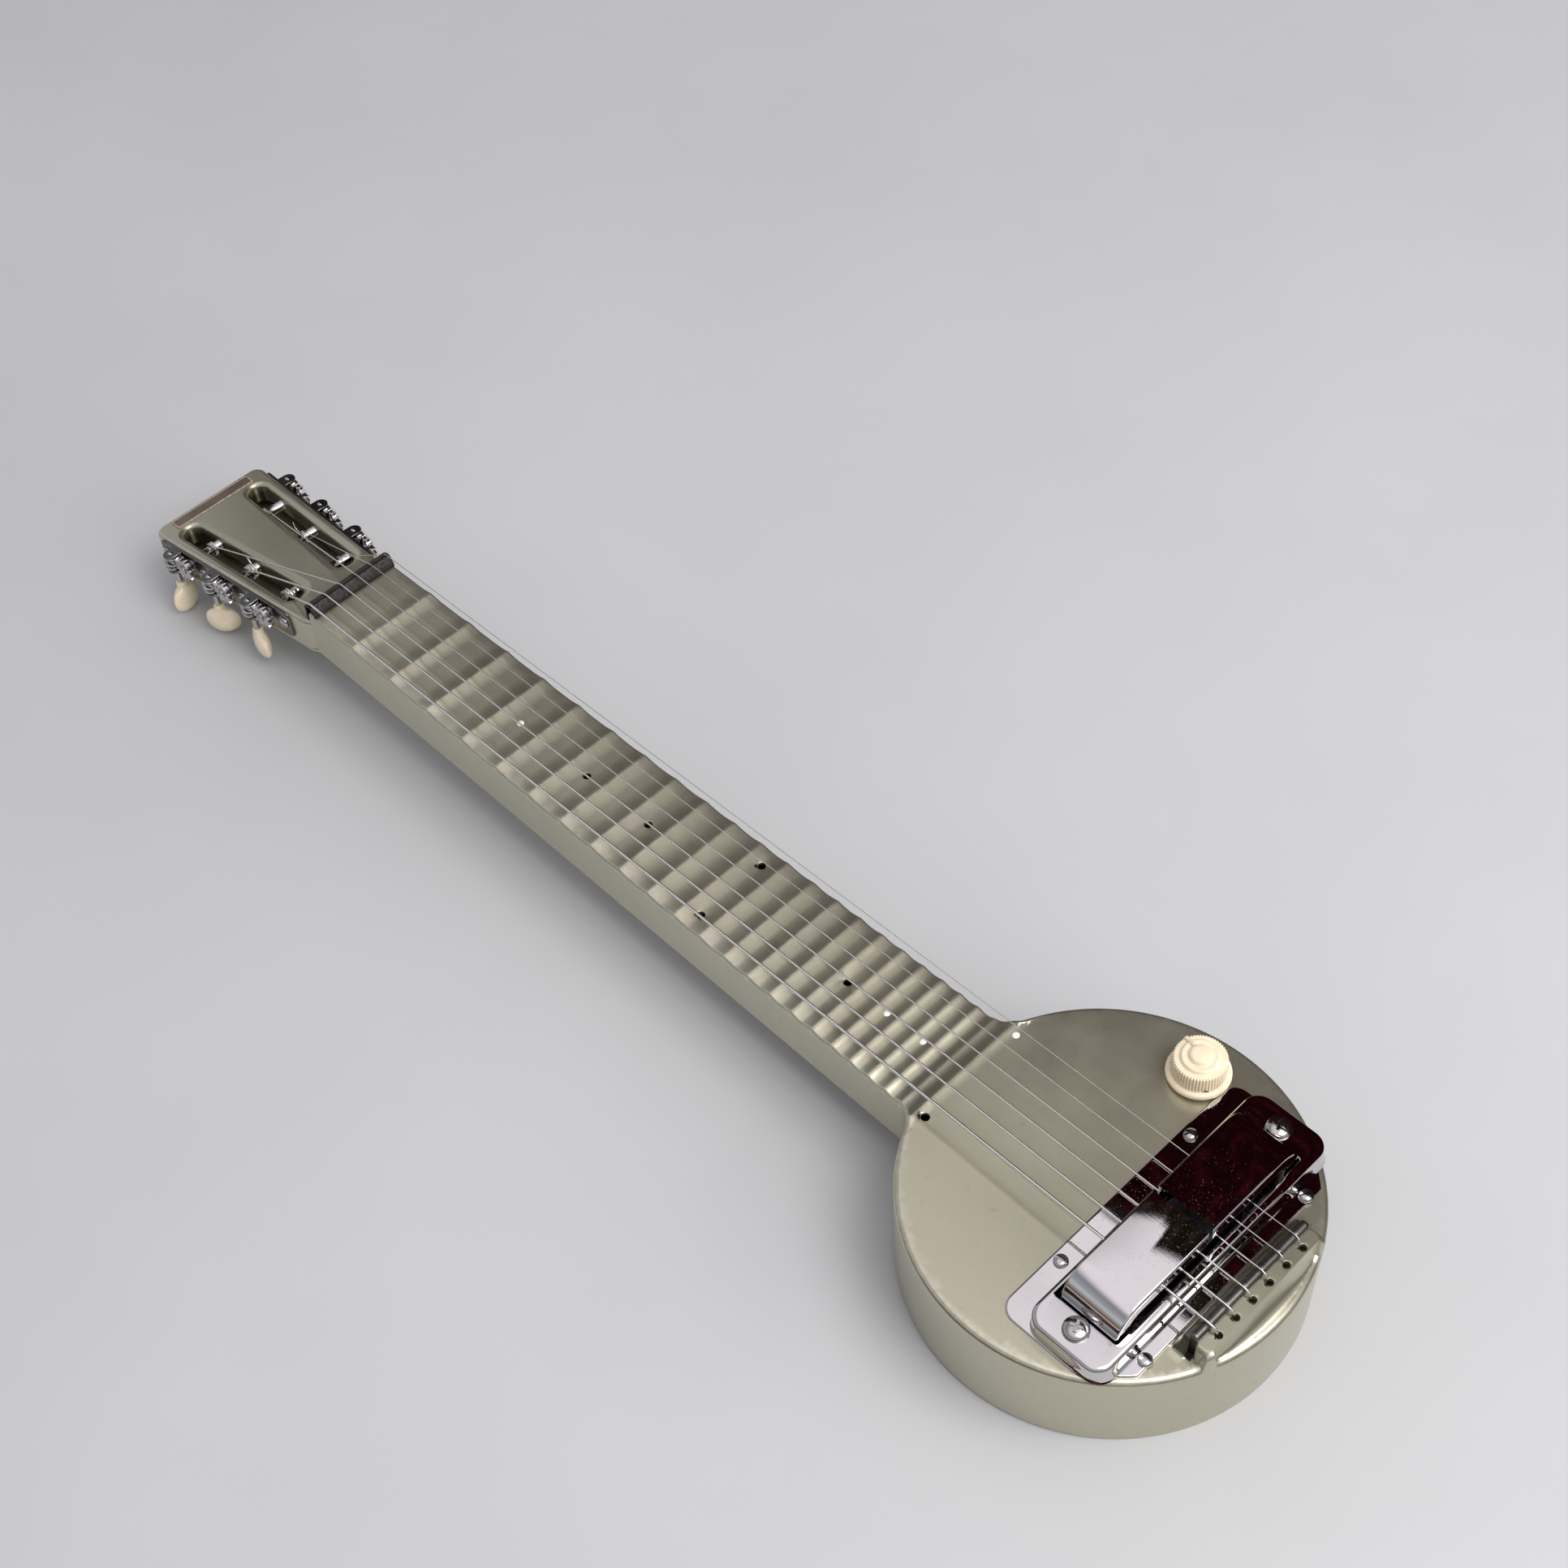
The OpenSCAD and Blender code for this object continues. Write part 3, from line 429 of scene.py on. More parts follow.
def ridge(x):
    """Height above the flat of the nearest fret ridge: a narrow crest with long hollow flanks."""
    n = 12 * log2(SCALE_LENGTH / max(SCALE_LENGTH - x, 1))
    near = min(LAST_FRET, max(1, round(n)))
    u = x - fret_x(near)
    gap = (fret_x(near) - fret_x(near - 1)) / 2 if u < 0 else (fret_x(near + 1) - fret_x(near)) / 2
    reach = min(8.5, gap)
    crest = 0.75
    v = (sqrt(u * u + crest * crest) - crest) / reach
    return RIDGE_HEIGHT * max(0.0, 1 - v) ** 2 if abs(u) < reach * 1.2 else 0.0


def pad_distance(x, y):
    """Distance outside the flat pad that holds the string holes, negative inside it."""
    dx = abs(x - PAD_X) - PAD_WIDE + PAD_CORNER
    dy = abs(y) - PAD_HALF + PAD_CORNER
    return hypot(max(dx, 0), max(dy, 0)) + min(max(dx, dy), 0) - PAD_CORNER


def front_ridge(x):
    """Share of the full height across the ridge in front of the rod."""
    return max(0.0, min(1.0, (x - 565.2) / 3.5, (572.4 - x) / 0.4))


def hump(x, y):
    """Height of the tail over the body's top: a ridge, the rod's trough and the pad of string holes."""
    if x < 563 or abs(y) > 44:
        return 0.0
    full = PAD_TOP - BODY_TOP
    out = abs(y)
    ridge_share = (front_ridge(x - 0.3) + 2 * front_ridge(x) + front_ridge(x + 0.3)) / 4
    front = full * ridge_share * (1 - smooth(34.6, 39.8, out))
    if out < 34.8 and x > 571.0:
        front = 0.0
    trough = 0.0
    if abs(x - BRIDGE_X) < 2.4:
        bed = ROD_Z - sqrt(max(0.0, (ROD_R + 0.05) ** 2 - (x - BRIDGE_X) ** 2)) - BODY_TOP
        trough = min(full, bed) * (1 - smooth(34.9, 35.2, out))
    outside = pad_distance(x, y)
    if outside <= 0:
        pad = 1.0
    elif x < PAD_X - 1:
        pad = 1 - smooth(0, 0.55, outside)
    else:
        rim = max(0.3, BODY_R - RIM_ROLL - hypot(x - BODY_X, y))
        pad = (1 - outside / (outside + rim)) ** 2.1
    pad *= 1 - 0.2 * smooth(35.4, 37.2, out)
    return max(pad * full, front, trough)


def top_height(x, y):
    rise = smooth(407, 421, x)
    base = NECK_FLAT + (BODY_TOP - NECK_FLAT) * rise
    if x < 430:
        base += ridge(x) * (1 - 0.35 * rise)
    return base + hump(x, y)


def body_outline(inset):
    """Closed outline of neck and body from the bass side of the nut round the tail, as (x, y, roll radius).

    Inset is a share of the roll radius, so a point moves inwards by inset * roll."""
    points = []

    def neck_side(side, stations):
        for k in stations:
            x = NECK_START + (SHOULDER_X - NECK_START) * k / NECK_ROWS
            points.append((x, side * (neck_half(x) - inset * NECK_ROLL), NECK_ROLL))

    def shoulder(side, shares):
        for share in shares:
            roll = NECK_ROLL + (RIM_ROLL - NECK_ROLL) * share
            a = pi / 2 + (SHOULDER_A - pi / 2) * share
            r = SHOULDER_R + inset * roll
            points.append((SHOULDER_X + r * cos(a), side * (SHOULDER_Y - r * sin(a)), roll))

    shares = [k / 24 for k in range(25)]
    neck_side(-1, range(NECK_ROWS))
    shoulder(-1, shares)
    for a in arc(pi + SHOULDER_A, 3 * pi - SHOULDER_A, 300)[1:-1]:
        points.append((*polar(BODY_R - inset * RIM_ROLL, a, BODY_X), RIM_ROLL))
    shoulder(1, reversed(shares))
    neck_side(1, range(NECK_ROWS - 1, -1, -1))
    end_half = neck_half(NECK_START) - inset * NECK_ROLL
    return points + [(NECK_START, end_half - 2 * end_half * k / 12, 0.001) for k in range(1, 12)]


def in_plan(x, y, margin):
    if x < SHOULDER_X:
        return abs(y) < neck_half(x) - margin and x > NECK_START + 0.3
    if hypot(x - BODY_X, y) < BODY_R - margin:
        return True
    past_shoulder = hypot(x - SHOULDER_X, abs(y) - SHOULDER_Y) > SHOULDER_R + margin
    return x < BODY_X and abs(y) < SHOULDER_Y and past_shoulder


def circle(x, y, r, steps=24):
    return [polar(r, a, x, y) for a in full_turn(steps)]


def fill(bm, outer, holes, loose, height, keep=lambda x, y: True):
    """Triangles between an outer loop and holes, over loose points. Holes are (loop, inside test)."""
    flat, made, edges = [], [], []
    for loop in [outer] + [h[0] for h in holes]:
        start = len(flat)
        flat += [Vector(v.co.xy) for v in loop]
        made += loop
        edges += [(start + k, start + (k + 1) % len(loop)) for k in range(len(loop))]
    for x, y in loose:
        flat.append(Vector((x, y)))
        made.append(bm.verts.new((x, y, height(x, y))))
    found, _, faces, origins, _, _ = geometry.delaunay_2d_cdt(flat, edges, [], 0, 1e-5)
    owner = [made[o[0]] if o else bm.verts.new((p.x, p.y, height(p.x, p.y))) for p, o in zip(found, origins)]
    for face in faces:
        cx = sum(found[k].x for k in face) / len(face)
        cy = sum(found[k].y for k in face) / len(face)
        if keep(cx, cy) and not any(test(cx, cy) for _, test in holes):
            corners = [owner[k] for k in face]
            if len(set(corners)) > 2:
                bm.faces.new(corners)
    loners = [v for v in bm.verts if not v.link_faces and not v.link_edges]
    bmesh.ops.delete(bm, geom=loners, context="VERTS")


def grid(x0, x1, dx, y0, y1, dy):
    nx, ny = max(1, round((x1 - x0) / dx)), max(1, round((y1 - y0) / dy))
    return [(x0 + (x1 - x0) * i / nx, y0 + (y1 - y0) * j / ny) for i in range(nx + 1) for j in range(ny + 1)]


MARKER_HOLES = [(between_frets(n), 0.0) for n in (7, 9, 17)] + [(between_frets(12), s * 19.25) for s in SIDES]
MARKER_HOLES += [(between_frets(24), -28.5)]
MARKER_DOTS = [(between_frets(n), 0.0) for n in (5, 19, 21)] + [(between_frets(24), 28.5)]
STRING_HOLES = [(HOLE_X, string_y(i, HOLE_PITCH)) for i in STRINGS]


def sunk_hole(bm, x, y, r, lip, depth):
    """Rings of a hole in the sheet with a softened edge. Returns the loop that the sheet joins."""
    z = top_height(x, y)
    edge = ((r + lip, 0.0), (r + lip * 0.45, lip * 0.12), (r + lip * 0.1, lip * 0.5), (r, lip), (r, depth))
    return loft(bm, [at_height(circle(x, y, rr), z - drop) for rr, drop in edge], caps=NO_CAPS)[0]


def body_points():
    """The surface's own points: rows across the neck, a wide net on the disc, a fine one on the tail."""
    step = (SHOULDER_X - NECK_START) / NECK_ROWS
    points = []
    for k in range(1, NECK_ROWS + 31):
        x = NECK_START + step * k
        half = neck_half(x) - NECK_ROLL
        points += [(x, half * share) for share in (-0.8, -0.58, -0.35, -0.12, 0.12, 0.35, 0.58, 0.8)]
        if k > NECK_ROWS:
            points += [(x, side * y) for side in SIDES for y in (28.7, 31.6, 34.8, 38.4, 42.6, 47.4, 53)]
    points += grid(436.5, 561.5, 4, -88, 88, 4)
    rows = [563.0, 564.0, 564.6, 565.0, 565.4, 565.9, 566.6, 567.3, 567.9, 568.3, 568.6, 568.9, 569.3, 570.0,
            570.6, 570.9, 571.1, 571.3, 571.55, 571.9, 572.4, 573.0, 573.6, 574.1, 574.45, 574.75, 575.0, 575.25,
            575.5, 576.0, 576.8, 578.0, 579.2, 580.2, 580.8, 581.1, 581.4, 581.8, 582.3, 582.9, 583.7, 584.6,
            585.6, 586.6]
    across = [1.1 * k for k in range(-29, 30)]
    across += [side * (32.6 + 0.42 * k) for side in SIDES for k in range(18)]
    points += [(x, y) for x in rows for y in across]
    return points + [(x, side * y) for side in SIDES for x, y in grid(563, 588, 3, 43, 66, 3)]


def in_well(x, y):
    """Inside the hole under the pickup, in the body and in its base plate."""
    return WELL_X0 < x < WELL_X1 and abs(y) < WELL_HALF


def in_mouth(x, y):
    """Inside one of the two dark mouths at the rod's ends."""
    return ((x - MOUTH_X) / MOUTH_WIDE) ** 2 + ((abs(y) - MOUTH_Y) / MOUTH_LONG) ** 2 < 0.98


def build_stamping():
    """Body, neck and tail in one sheet: walls, a rolled edge, and the top with its ridges, hump and holes."""
    bm = bmesh.new()
    inner, outer = body_outline(1.0), body_outline(0.0)
    tops = [top_height(x, y) for x, y, _ in inner]
    low = [WALL_LOW if hypot(x - BODY_X, y) < BODY_R + 0.01 and x > SHOULDER_X + 1 else NECK_LOW
           for x, y, _ in outer]
    walls = [[(x, y, z * (1 - share) - 3.2 * share) for (x, y, _), z in zip(outer, low)]
             for share in (0, 0.35, 0.7, 0.9)]
    rolls = []
    for a in arc(0, pi / 2, 6):
        ring = body_outline(1 - cos(a))
        rolls.append([(x, y, top - roll * (1 - sin(a))) for (x, y, roll), top in zip(ring, tops)])
    made = loft(bm, walls + rolls, caps=NO_CAPS)
    rim_count = len(bm.verts)
    holes = []
    for spots, r, lip, depth in ((MARKER_HOLES, 2.0, 0.35, 1.4), (STRING_HOLES, STRING_HOLE_R, 0.3, 2.2)):
        for x, y in spots:
            loop = sunk_hole(bm, x, y, r, lip, depth)
            holes.append((loop, lambda cx, cy, x=x, y=y, r=r: hypot(cx - x, cy - y) < r + 0.2))
    corners = ((WELL_X0, -WELL_HALF), (WELL_X1, -WELL_HALF), (WELL_X1, WELL_HALF), (WELL_X0, WELL_HALF))
    holes.append((new_ring(bm, at_height(corners, BODY_TOP)), in_well))
    for side in SIDES:
        leaf = [(MOUTH_X + MOUTH_WIDE * sin(a), side * (MOUTH_Y + MOUTH_LONG * cos(a)))
                for a in full_turn(20)]
        holes.append((new_ring(bm, [(x, y, top_height(x, y)) for x, y in leaf]), in_mouth))
    taken = [(x, y, 2.7) for x, y in MARKER_HOLES] + [(x, y, 2.15) for x, y in STRING_HOLES]

    def roll_at(x):
        return NECK_ROLL if x < SHOULDER_X else RIM_ROLL

    def free(x, y):
        return in_plan(x, y, roll_at(x) + 0.25) and all(hypot(x - a, y - b) > r for a, b, r in taken)

    def keep(x, y):
        return in_plan(x, y, roll_at(x) - 0.5) or x <= NECK_START + 0.3

    loose = [p for p in dict.fromkeys((round(x, 3), round(y, 3)) for x, y in body_points()) if free(*p)]
    fill(bm, made[-1], holes, loose, top_height, keep)
    tail_arc = arc(pi - SHOULDER_A, pi + SHOULDER_A, 24)
    under_neck = [at_height([polar(BODY_R, a, BODY_X) for a in tail_arc], z) for z in (WALL_LOW, NECK_LOW)]
    loft(bm, under_neck, closed=False, caps=NO_CAPS)

    def worn(index, x, y, z):
        """Rubbed along the rolled rim and the ridges' crests; painted shade, darkened to near black, on the slope
        before the rod and in the rod's trough.
        """
        if index < rim_count and index // len(outer) > 5:
            return 0.5
        if x < 425 and z > NECK_FLAT - 0.3:
            return 0.7 * max(0.0, ridge(x) / RIDGE_HEIGHT - 0.82) / 0.18
        # Painted shade: negative values darken the slope before the rod and the rod's trough towards near black.
        if 564.9 < x < 571.4 and z > BODY_TOP + 0.6 and abs(y) < 38.5:
            return -0.8
        if 571.4 <= x < 575.2 and abs(y) < 38.8 and z < PAD_TOP - 0.5:
            return -0.9
        return 0.0

    wear_and_shade = [worn(index, *v.co) for index, v in enumerate(bm.verts)]
    add_piece("stamped_body", bm, GUITAR, "body_paint", ("body_shell", "body_wall"), sharp=50, wear_and_shade=wear_and_shade)


# ---- Headstock ----

HEAD_FLARE = (HEAD_HALF_END - HEAD_HALF_NUT) / (HEAD_LENGTH - 8)
HEAD_TURN = atan(HEAD_FLARE)
SLOT_NEAR, SLOT_FAR = (-32.5, 16.4), (-115.0, 21.4)
HEAD_ROLL, HEAD_CORNER = 2.2, 6.0


def head_side(x):
    return HEAD_HALF_NUT + HEAD_FLARE * (-8 - x)


def head_outline(inset):
    corner_x = -HEAD_LENGTH + HEAD_CORNER
    corner_y = head_side(corner_x) - HEAD_CORNER / cos(HEAD_TURN)
    tuck = NECK_HALF_NUT - 0.35
    half = [(-1.5, tuck - inset), (-3.5, tuck - inset)]
    for k in range(1, 7):
        t = k / 6
        half.append((-3.5 - 6.5 * t, tuck + (head_side(-10) - tuck) * smooth(0, 1, t) - inset))
    for k in range(1, 24):
        x = -10 + (corner_x + 10) * k / 24
        half.append((x, head_side(x) - inset / cos(HEAD_TURN)))
    half += [polar(HEAD_CORNER - inset, a, corner_x, corner_y) for a in arc(pi / 2 - HEAD_TURN, pi, 12)]
    return half + [(x, -y) for x, y in reversed(half)]


def slot_outline(side, grow):
    """Grow is (at the nut end, at the head end): the lip is drawn in more widely towards the nut."""
    near, far = Vector((SLOT_NEAR[0], side * SLOT_NEAR[1])), Vector((SLOT_FAR[0], side * SLOT_FAR[1]))
    way = atan2(far.y - near.y, far.x - near.x)
    points = []
    ends = ((far, near, way - pi / 2, grow[1]), (near, far, way + pi / 2, grow[0]))
    for middle, other, start, wide in ends:
        end = start + pi
        points += [polar(SLOT_R + wide, a, *middle) for a in arc(start, end, 20)]
        for t in (k / 10 for k in range(1, 10)):
            width = SLOT_R + wide + (grow[0] + grow[1] - 2 * wide) * t
            points.append(polar(width, end, *(middle + (other - middle) * t)))
    return points


def inside_loop(x, y, loop):
    """Whether a point lies inside a closed loop of flat points."""
    hit = False
    for a, b in zip(loop, loop[1:] + loop[:1]):
        if (a[1] > y) != (b[1] > y) and x < (b[0] - a[0]) * (y - a[1]) / (b[1] - a[1]) + a[0]:
            hit = not hit
    return hit


def build_headstock():
    """Walls, a rolled edge and a flat face with two slots whose lips are drawn in."""
    bm = bmesh.new()
    low = -18.8
    walls = [at_height(head_outline(0), z) for z in (low, low / 2, -HEAD_ROLL - 1.0)]
    edge = [at_height(head_outline(inset), -drop) for inset, drop in quarter_roll(HEAD_ROLL)]
    made = loft(bm, walls + edge, caps=NO_CAPS)
    holes = []
    for side in SIDES:
        rings = [at_height(slot_outline(side, (0, 0)), z) for z in (-11.5, -6.5)]
        for t in arc(0, pi / 2, 7):
            spread, drop = 1 - cos(t), 1 - sin(t)
            rings.append([(x, y, -drop * (2.4 + 0.9 * smooth(-60, -28, x)))
                          for x, y in slot_outline(side, (4.6 * spread, 2.4 * spread))])
        lip = slot_outline(side, (5.2, 2.8))
        loop = loft(bm, rings + [at_height(lip, 0.0)], caps=NO_CAPS)[-1]
        holes.append((loop, lambda x, y, lip=lip: inside_loop(x, y, lip)))
    fill(bm, made[-1], holes, [], lambda x, y: 0.0)
    ring_size = len(made[0])

    def worn(index, x, y, z):
        """Rubbed along the rolled edge; painted shade, darker the deeper it goes down the slots' walls."""
        if 3 * ring_size <= index < 9 * ring_size:
            return 0.45
        # Painted shade: below the face, the slots' walls are darkened with depth.
        return min(0.0, max(-0.85, (z + 1.2) / 5)) if x < -15 and abs(y) < 26 else 0.0

    wear_and_shade = [worn(index, *v.co) for index, v in enumerate(bm.verts)]
    add_piece("stamped_headstock", bm, HEAD, "body_paint", ("body_shell",), sharp=50, wear_and_shade=wear_and_shade)


def build_nameplate():
    """A blank plate with a raised border."""
    bm = bmesh.new()
    x0, x1, half = -131.2, -123.4, 25.0
    steps = ((0, 0.0), (0, 0.45), (0.2, 0.6), (0.9, 0.6), (1.05, 0.4), (1.4, 0.36), (1.6, 0.36))
    rings = []
    for inset, z in steps:
        border = rounded_rect(x0 + inset, x1 - inset, inset - half, half - inset, max(0.3, 1.4 - inset), 4)
        rings.append(at_height(border, z))
    made = loft(bm, rings, caps=(False, True))
    size = len(made[0])
    wear_and_shade = [1.0 if size <= k < 4 * size else 0.0 for k in range(len(bm.verts))]
    add_piece("blank_nameplate", bm, HEAD, "bronze_plate", ("nameplate",), wear_and_shade=wear_and_shade)


# ---- Nut and markers ----

def build_nut():
    """Folded angle bar: sloping front, flat top with string notches, hollow fold showing at its ends."""
    bm = bmesh.new()
    outline = [(-4.3, -7.0), (-5.3, -7.0), (-5.35, 2.9), (-5.0, 3.5), (-2.9, 4.9), (-2.3, 5.15), (-0.9, 5.3),
               (-0.1, 5.3), (0.35, 5.1), (2.85, 0.6), (2.95, 0.1), (2.7, -1.1), (1.9, -1.1), (-0.7, 3.9),
               (-1.6, 4.05), (-4.0, 2.9), (-4.3, 2.6)]
    worn = {3: 0.25, 5: 0.55, 8: 0.55, 9: 0.25}
    end = NECK_HALF_NUT - 0.1
    rings = []
    for y in [-end, 0.3 - end] + arc(0.6 - end, end - 0.6, 150) + [end - 0.3, end]:
        notch = sum(exp(-((y - string_y(i, NUT_PITCH)) / (r + 0.35)) ** 4) * r * 0.8 for i, r in zip(STRINGS, STRING_R))
        ring = []
        for x, z in outline:
            top = smooth(3.0, 5.0, z) if x > -5.2 and z > 3 and not (-4.4 < x < -0.5 and z < 4.2) else 0.0
            ring.append((x, y, z - min(notch, 0.5) * top))
        rings.append(ring)
    loft(bm, rings)
    wear_and_shade = [worn.get(k % len(outline), 0.0) for k in range(len(bm.verts))]
    add_piece("folded_nut", bm, GUITAR, "black_paint", ("nut",), sharp=30, wear_and_shade=wear_and_shade)


def build_markers():
    """White dots, each a shallow dome set in its hole."""
    bm = bmesh.new()
    for x, y in MARKER_DOTS:
        z = top_height(x, y) - 0.35
        dome = [(1.98 * cos(a), z + 0.75 * sin(a)) for a in arc(0, pi / 2, 8)[:-1]]
        lathe(bm, [(1.98, z - 0.6)] + dome + [(0.02, z + 0.75)], 28, shift(x, y, 0))
    add_piece("marker_dots", bm, GUITAR, "white_plastic", ("fret_marker_dots",))


# ---- Strings ----

def wrap_start(i):
    """Where string i reaches its post, in tuner coordinates."""
    post = GUITAR.inverted() @ TUNER[i] @ Vector((0, 0, 0))
    reach = (abs(post.y) - abs(WRAP_Y[i - 1])) / cos(HEAD_TURN)
    return Vector((0, -reach, -POST_DEPTH + POST_R + STRING_R[i - 1]))


def winding_route(i):
    """Turns of wire round the post, ending in a cut tail that stands away from it."""
    start = wrap_start(i)
    r = POST_R + STRING_R[i - 1]
    turns = 2.3 + 0.35 * (i % 3)
    step = STRING_R[i - 1] * 2.15
    count = int(turns * 24)
    route = []
    for k in range(count + 1):
        share = turns * k / count
        x, z = polar(r, pi / 2 + 2 * pi * share, 0, -POST_DEPTH)
        route.append(Vector((x, start.y - step * share, z)))
    a = pi / 2 + 2 * pi * turns
    way = Vector((-sin(a), -0.25, cos(a))).normalized()
    lift = Vector((-0.25, 0.1, 1.0)).normalized()
    length = 6.0 + 3.0 * (i % 2)
    for k in range(1, 9):
        t = k / 8
        route.append(route[count] + length * (t * way * (1 - 0.55 * t) + 0.6 * t * t * lift))
    return route


def string_route(i):
    """From the post over the nut and the bridge rod into the tail, in guitar millimetres."""
    r = STRING_R[i - 1]
    near, far = string_y(i, NUT_PITCH), string_y(i, BRIDGE_PITCH)
    route = [GUITAR.inverted() @ TUNER[i] @ wrap_start(i)]
    route += [Vector((x, near, NUT_HEIGHT - sunk + r)) for x, sunk in ((-1.8, 0.35), (-0.4, 0.1), (0.3, 0.1))]
    top = ROD_R + r + 0.02
    route += [Vector((BRIDGE_X + top * sin(a), far, ROD_Z + top * cos(a))) for a in (-0.1, 0, 0.1)]
    start = route[-1]
    hole = Vector((HOLE_X - STRING_HOLE_R + r + 0.25, string_y(i, HOLE_PITCH), PAD_TOP - 0.3))
    reach, fall = start + Vector((2.7, 0, -0.35)), hole + Vector((-0.1, 0, 2.6))
    for k in range(1, 13):
        t, u = k / 12, 1 - k / 12
        route.append(u ** 3 * start + 3 * t * u ** 2 * reach + 3 * t * t * u * fall + t ** 3 * hole)
    return route + [hole + Vector((0.2, 0, -2.2))]


def build_strings():
    for i in STRINGS:
        finish = WOUND_STEEL if i <= 3 else MATERIALS["string_steel"]
        bm = bmesh.new()
        tube(bm, string_route(i), STRING_R[i - 1], 12)
        add_piece(f"string_{i}_length", bm, GUITAR, "string_steel", (f"string_{i}",), finish=finish)
        bm = bmesh.new()
        tube(bm, winding_route(i), STRING_R[i - 1], 10)
        roller = f"string_roller_{i}"
        add_piece(f"string_{i}_winding", bm, TUNER[i], "string_steel", body=roller, finish=finish)


def build_ball_ends():
    """A small waisted brass spool on the end of each string, under the tail."""
    bm = bmesh.new()
    half = [(0.02, 1.5), (1.5, 1.5), (1.7, 1.3), (1.7, 0.9), (1.2, 0.6)]
    profile = [(r, -z) for r, z in half] + half[::-1]
    for x, y in STRING_HOLES:
        lathe(bm, profile, 24, shift(x, y, 7.4) @ ON_Y)
    # The spools take the darkened brass that paints shade in the string holes.
    add_piece("string_spools", bm, GUITAR, "brass", ("string_ball_ends",))


# ---- Screws ----

def domed_head(bm, r, h, steps=36):
    """A round head that stands a hair over its seat, so a dark seam shows round its foot."""
    profile = [(r - 0.35, 0.0), (r - 0.35, 0.18), (r - 0.05, 0.22), (r, 0.4)]
    profile += [(r * cos(a) ** 0.9, 0.4 + (h - 0.4) * sin(a)) for a in arc(0, pi / 2, 9)[1:-1]]
    lathe(bm, profile + [(0.02, h)], steps)


def slotted_screw(r, h, turn, slot):
    """Round head with a straight slot."""
    head, cutter = bmesh.new(), bmesh.new()
    domed_head(head, r, h)
    turned = spin(turn)
    box(cutter, (-r - 1, -slot / 2, h - 0.45 * h), (r + 1, slot / 2, h + 1), turned)
    return cut_from(head, cutter)


def cross_screw(r, h, turn):
    """Large round head with a cross recess."""
    head, cutter = bmesh.new(), bmesh.new()
    domed_head(head, r, h, 48)
    for extra in (0, 90):
        place = spin(turn + extra)
        ends = ((0.8, 0.3, h - 1.9), (2.7, 0.6, h + 0.3))
        rings = [((-x, -y, z), (x, -y, z), (x, y, z), (-x, y, z)) for x, y, z in ends]
        loft(cutter, [[place @ Vector(p) for p in ring] for ring in rings])
    return cut_from(head, cutter)


def place_screws(name, spots, make, replaces):
    """One piece per screw. Spots are (x, y, z, turn)."""
    for k, (x, y, z, turn) in enumerate(spots):
        place = GUITAR @ shift(x, y, z)
        add_piece(f"{name}_{k + 1}", make(turn), place, "nickel", replaces, sharp=32)


# ---- Bridge rod ----

def build_rod():
    """Steel bar across the body with rounded ends and a worn bed under each string."""
    bm = bmesh.new()
    end = [(ROD_R, ROD_HALF - 0.8), (ROD_R - 0.25, ROD_HALF - 0.2), (ROD_R - 0.8, ROD_HALF), (0.3, ROD_HALF)]
    profile = [(r, -y) for r, y in reversed(end)]
    for y in arc(0.8 - ROD_HALF, ROD_HALF - 0.8, 180)[1:-1]:
        beds = (0.12 * exp(-((y - string_y(i, BRIDGE_PITCH)) / (r + 0.25)) ** 2) for i, r in zip(STRINGS, STRING_R))
        profile.append((ROD_R - sum(beds), y))
    place = shift(BRIDGE_X, 0, ROD_Z) @ OUTWARDS
    lathe(bm, profile + end, 40, place)
    add_piece("bridge_bar", bm, GUITAR, "dark_steel", ("bridge_rod",))


# ---- Pickup ----

PLATE_TOP, COVER_TOP, COVER_STEPS = 3.2, 12.5, 10


def base_plate_outline(inset):
    """Rounded rectangle whose rear corners follow the body's rim."""
    x0, x1, half, r = 506.0, 565.0, 74.0, 8.0
    rim = BODY_R - 3.0
    start = atan2(sqrt(rim ** 2 - (x1 - BODY_X) ** 2), x1 - BODY_X)
    end = asin(half / rim)
    points = [polar(rim - inset, a, BODY_X) for a in arc(start, end, 12)]
    points += [(x, half - inset) for x in arc(BODY_X + rim * cos(end), x0 + r, 6)[1:-1]]
    points += [(x0 + r + (r - inset) * cos(a), half - r + (r - inset) * sin(a))
               for a in arc(pi / 2, pi, 10)]
    points = [(min(x, x1 - inset), y) for x, y in points]
    front = [(x0 + inset, y) for y in arc(half - r, r - half, 12)[1:-1]]
    rear = [(x1 - inset, y) for y in arc(-points[0][1], points[0][1], 12)[1:-1]]
    return points + front + [(x, -y) for x, y in reversed(points)] + rear


def build_base_plate():
    bm = bmesh.new()
    rings = [at_height(base_plate_outline(0), BODY_TOP + 0.03)]
    rings += [at_height(base_plate_outline(inset), PLATE_TOP - drop) for inset, drop in quarter_roll(0.8, 4)]
    loop = loft(bm, rings, caps=NO_CAPS)[-1]
    well = rounded_rect(WELL_X0, WELL_X1, -WELL_HALF, WELL_HALF, 1, 2)
    opening, foot = (new_ring(bm, at_height(well, z)) for z in (PLATE_TOP, BODY_TOP))
    bridge(bm, opening, foot)
    fill(bm, loop, [(opening, in_well)], [], lambda x, y: PLATE_TOP)
    add_piece("pickup_plate", bm, GUITAR, "chrome", ("pickup_base_plate",), sharp=50)


def cover_outline(inset, z):
    """The cover leans back slightly behind, and rolls over more softly at its ends than along its sides."""
    lean = 1.4 * (COVER_TOP - z) / (COVER_TOP - PLATE_TOP)
    end = 73 - 1.75 * inset
    points = rounded_rect(518.5 + inset, 557.6 - inset, -end, end, 8.2 - inset, COVER_STEPS)
    return [(x + lean * smooth(540, 553, x), y, z) for x, y in points]


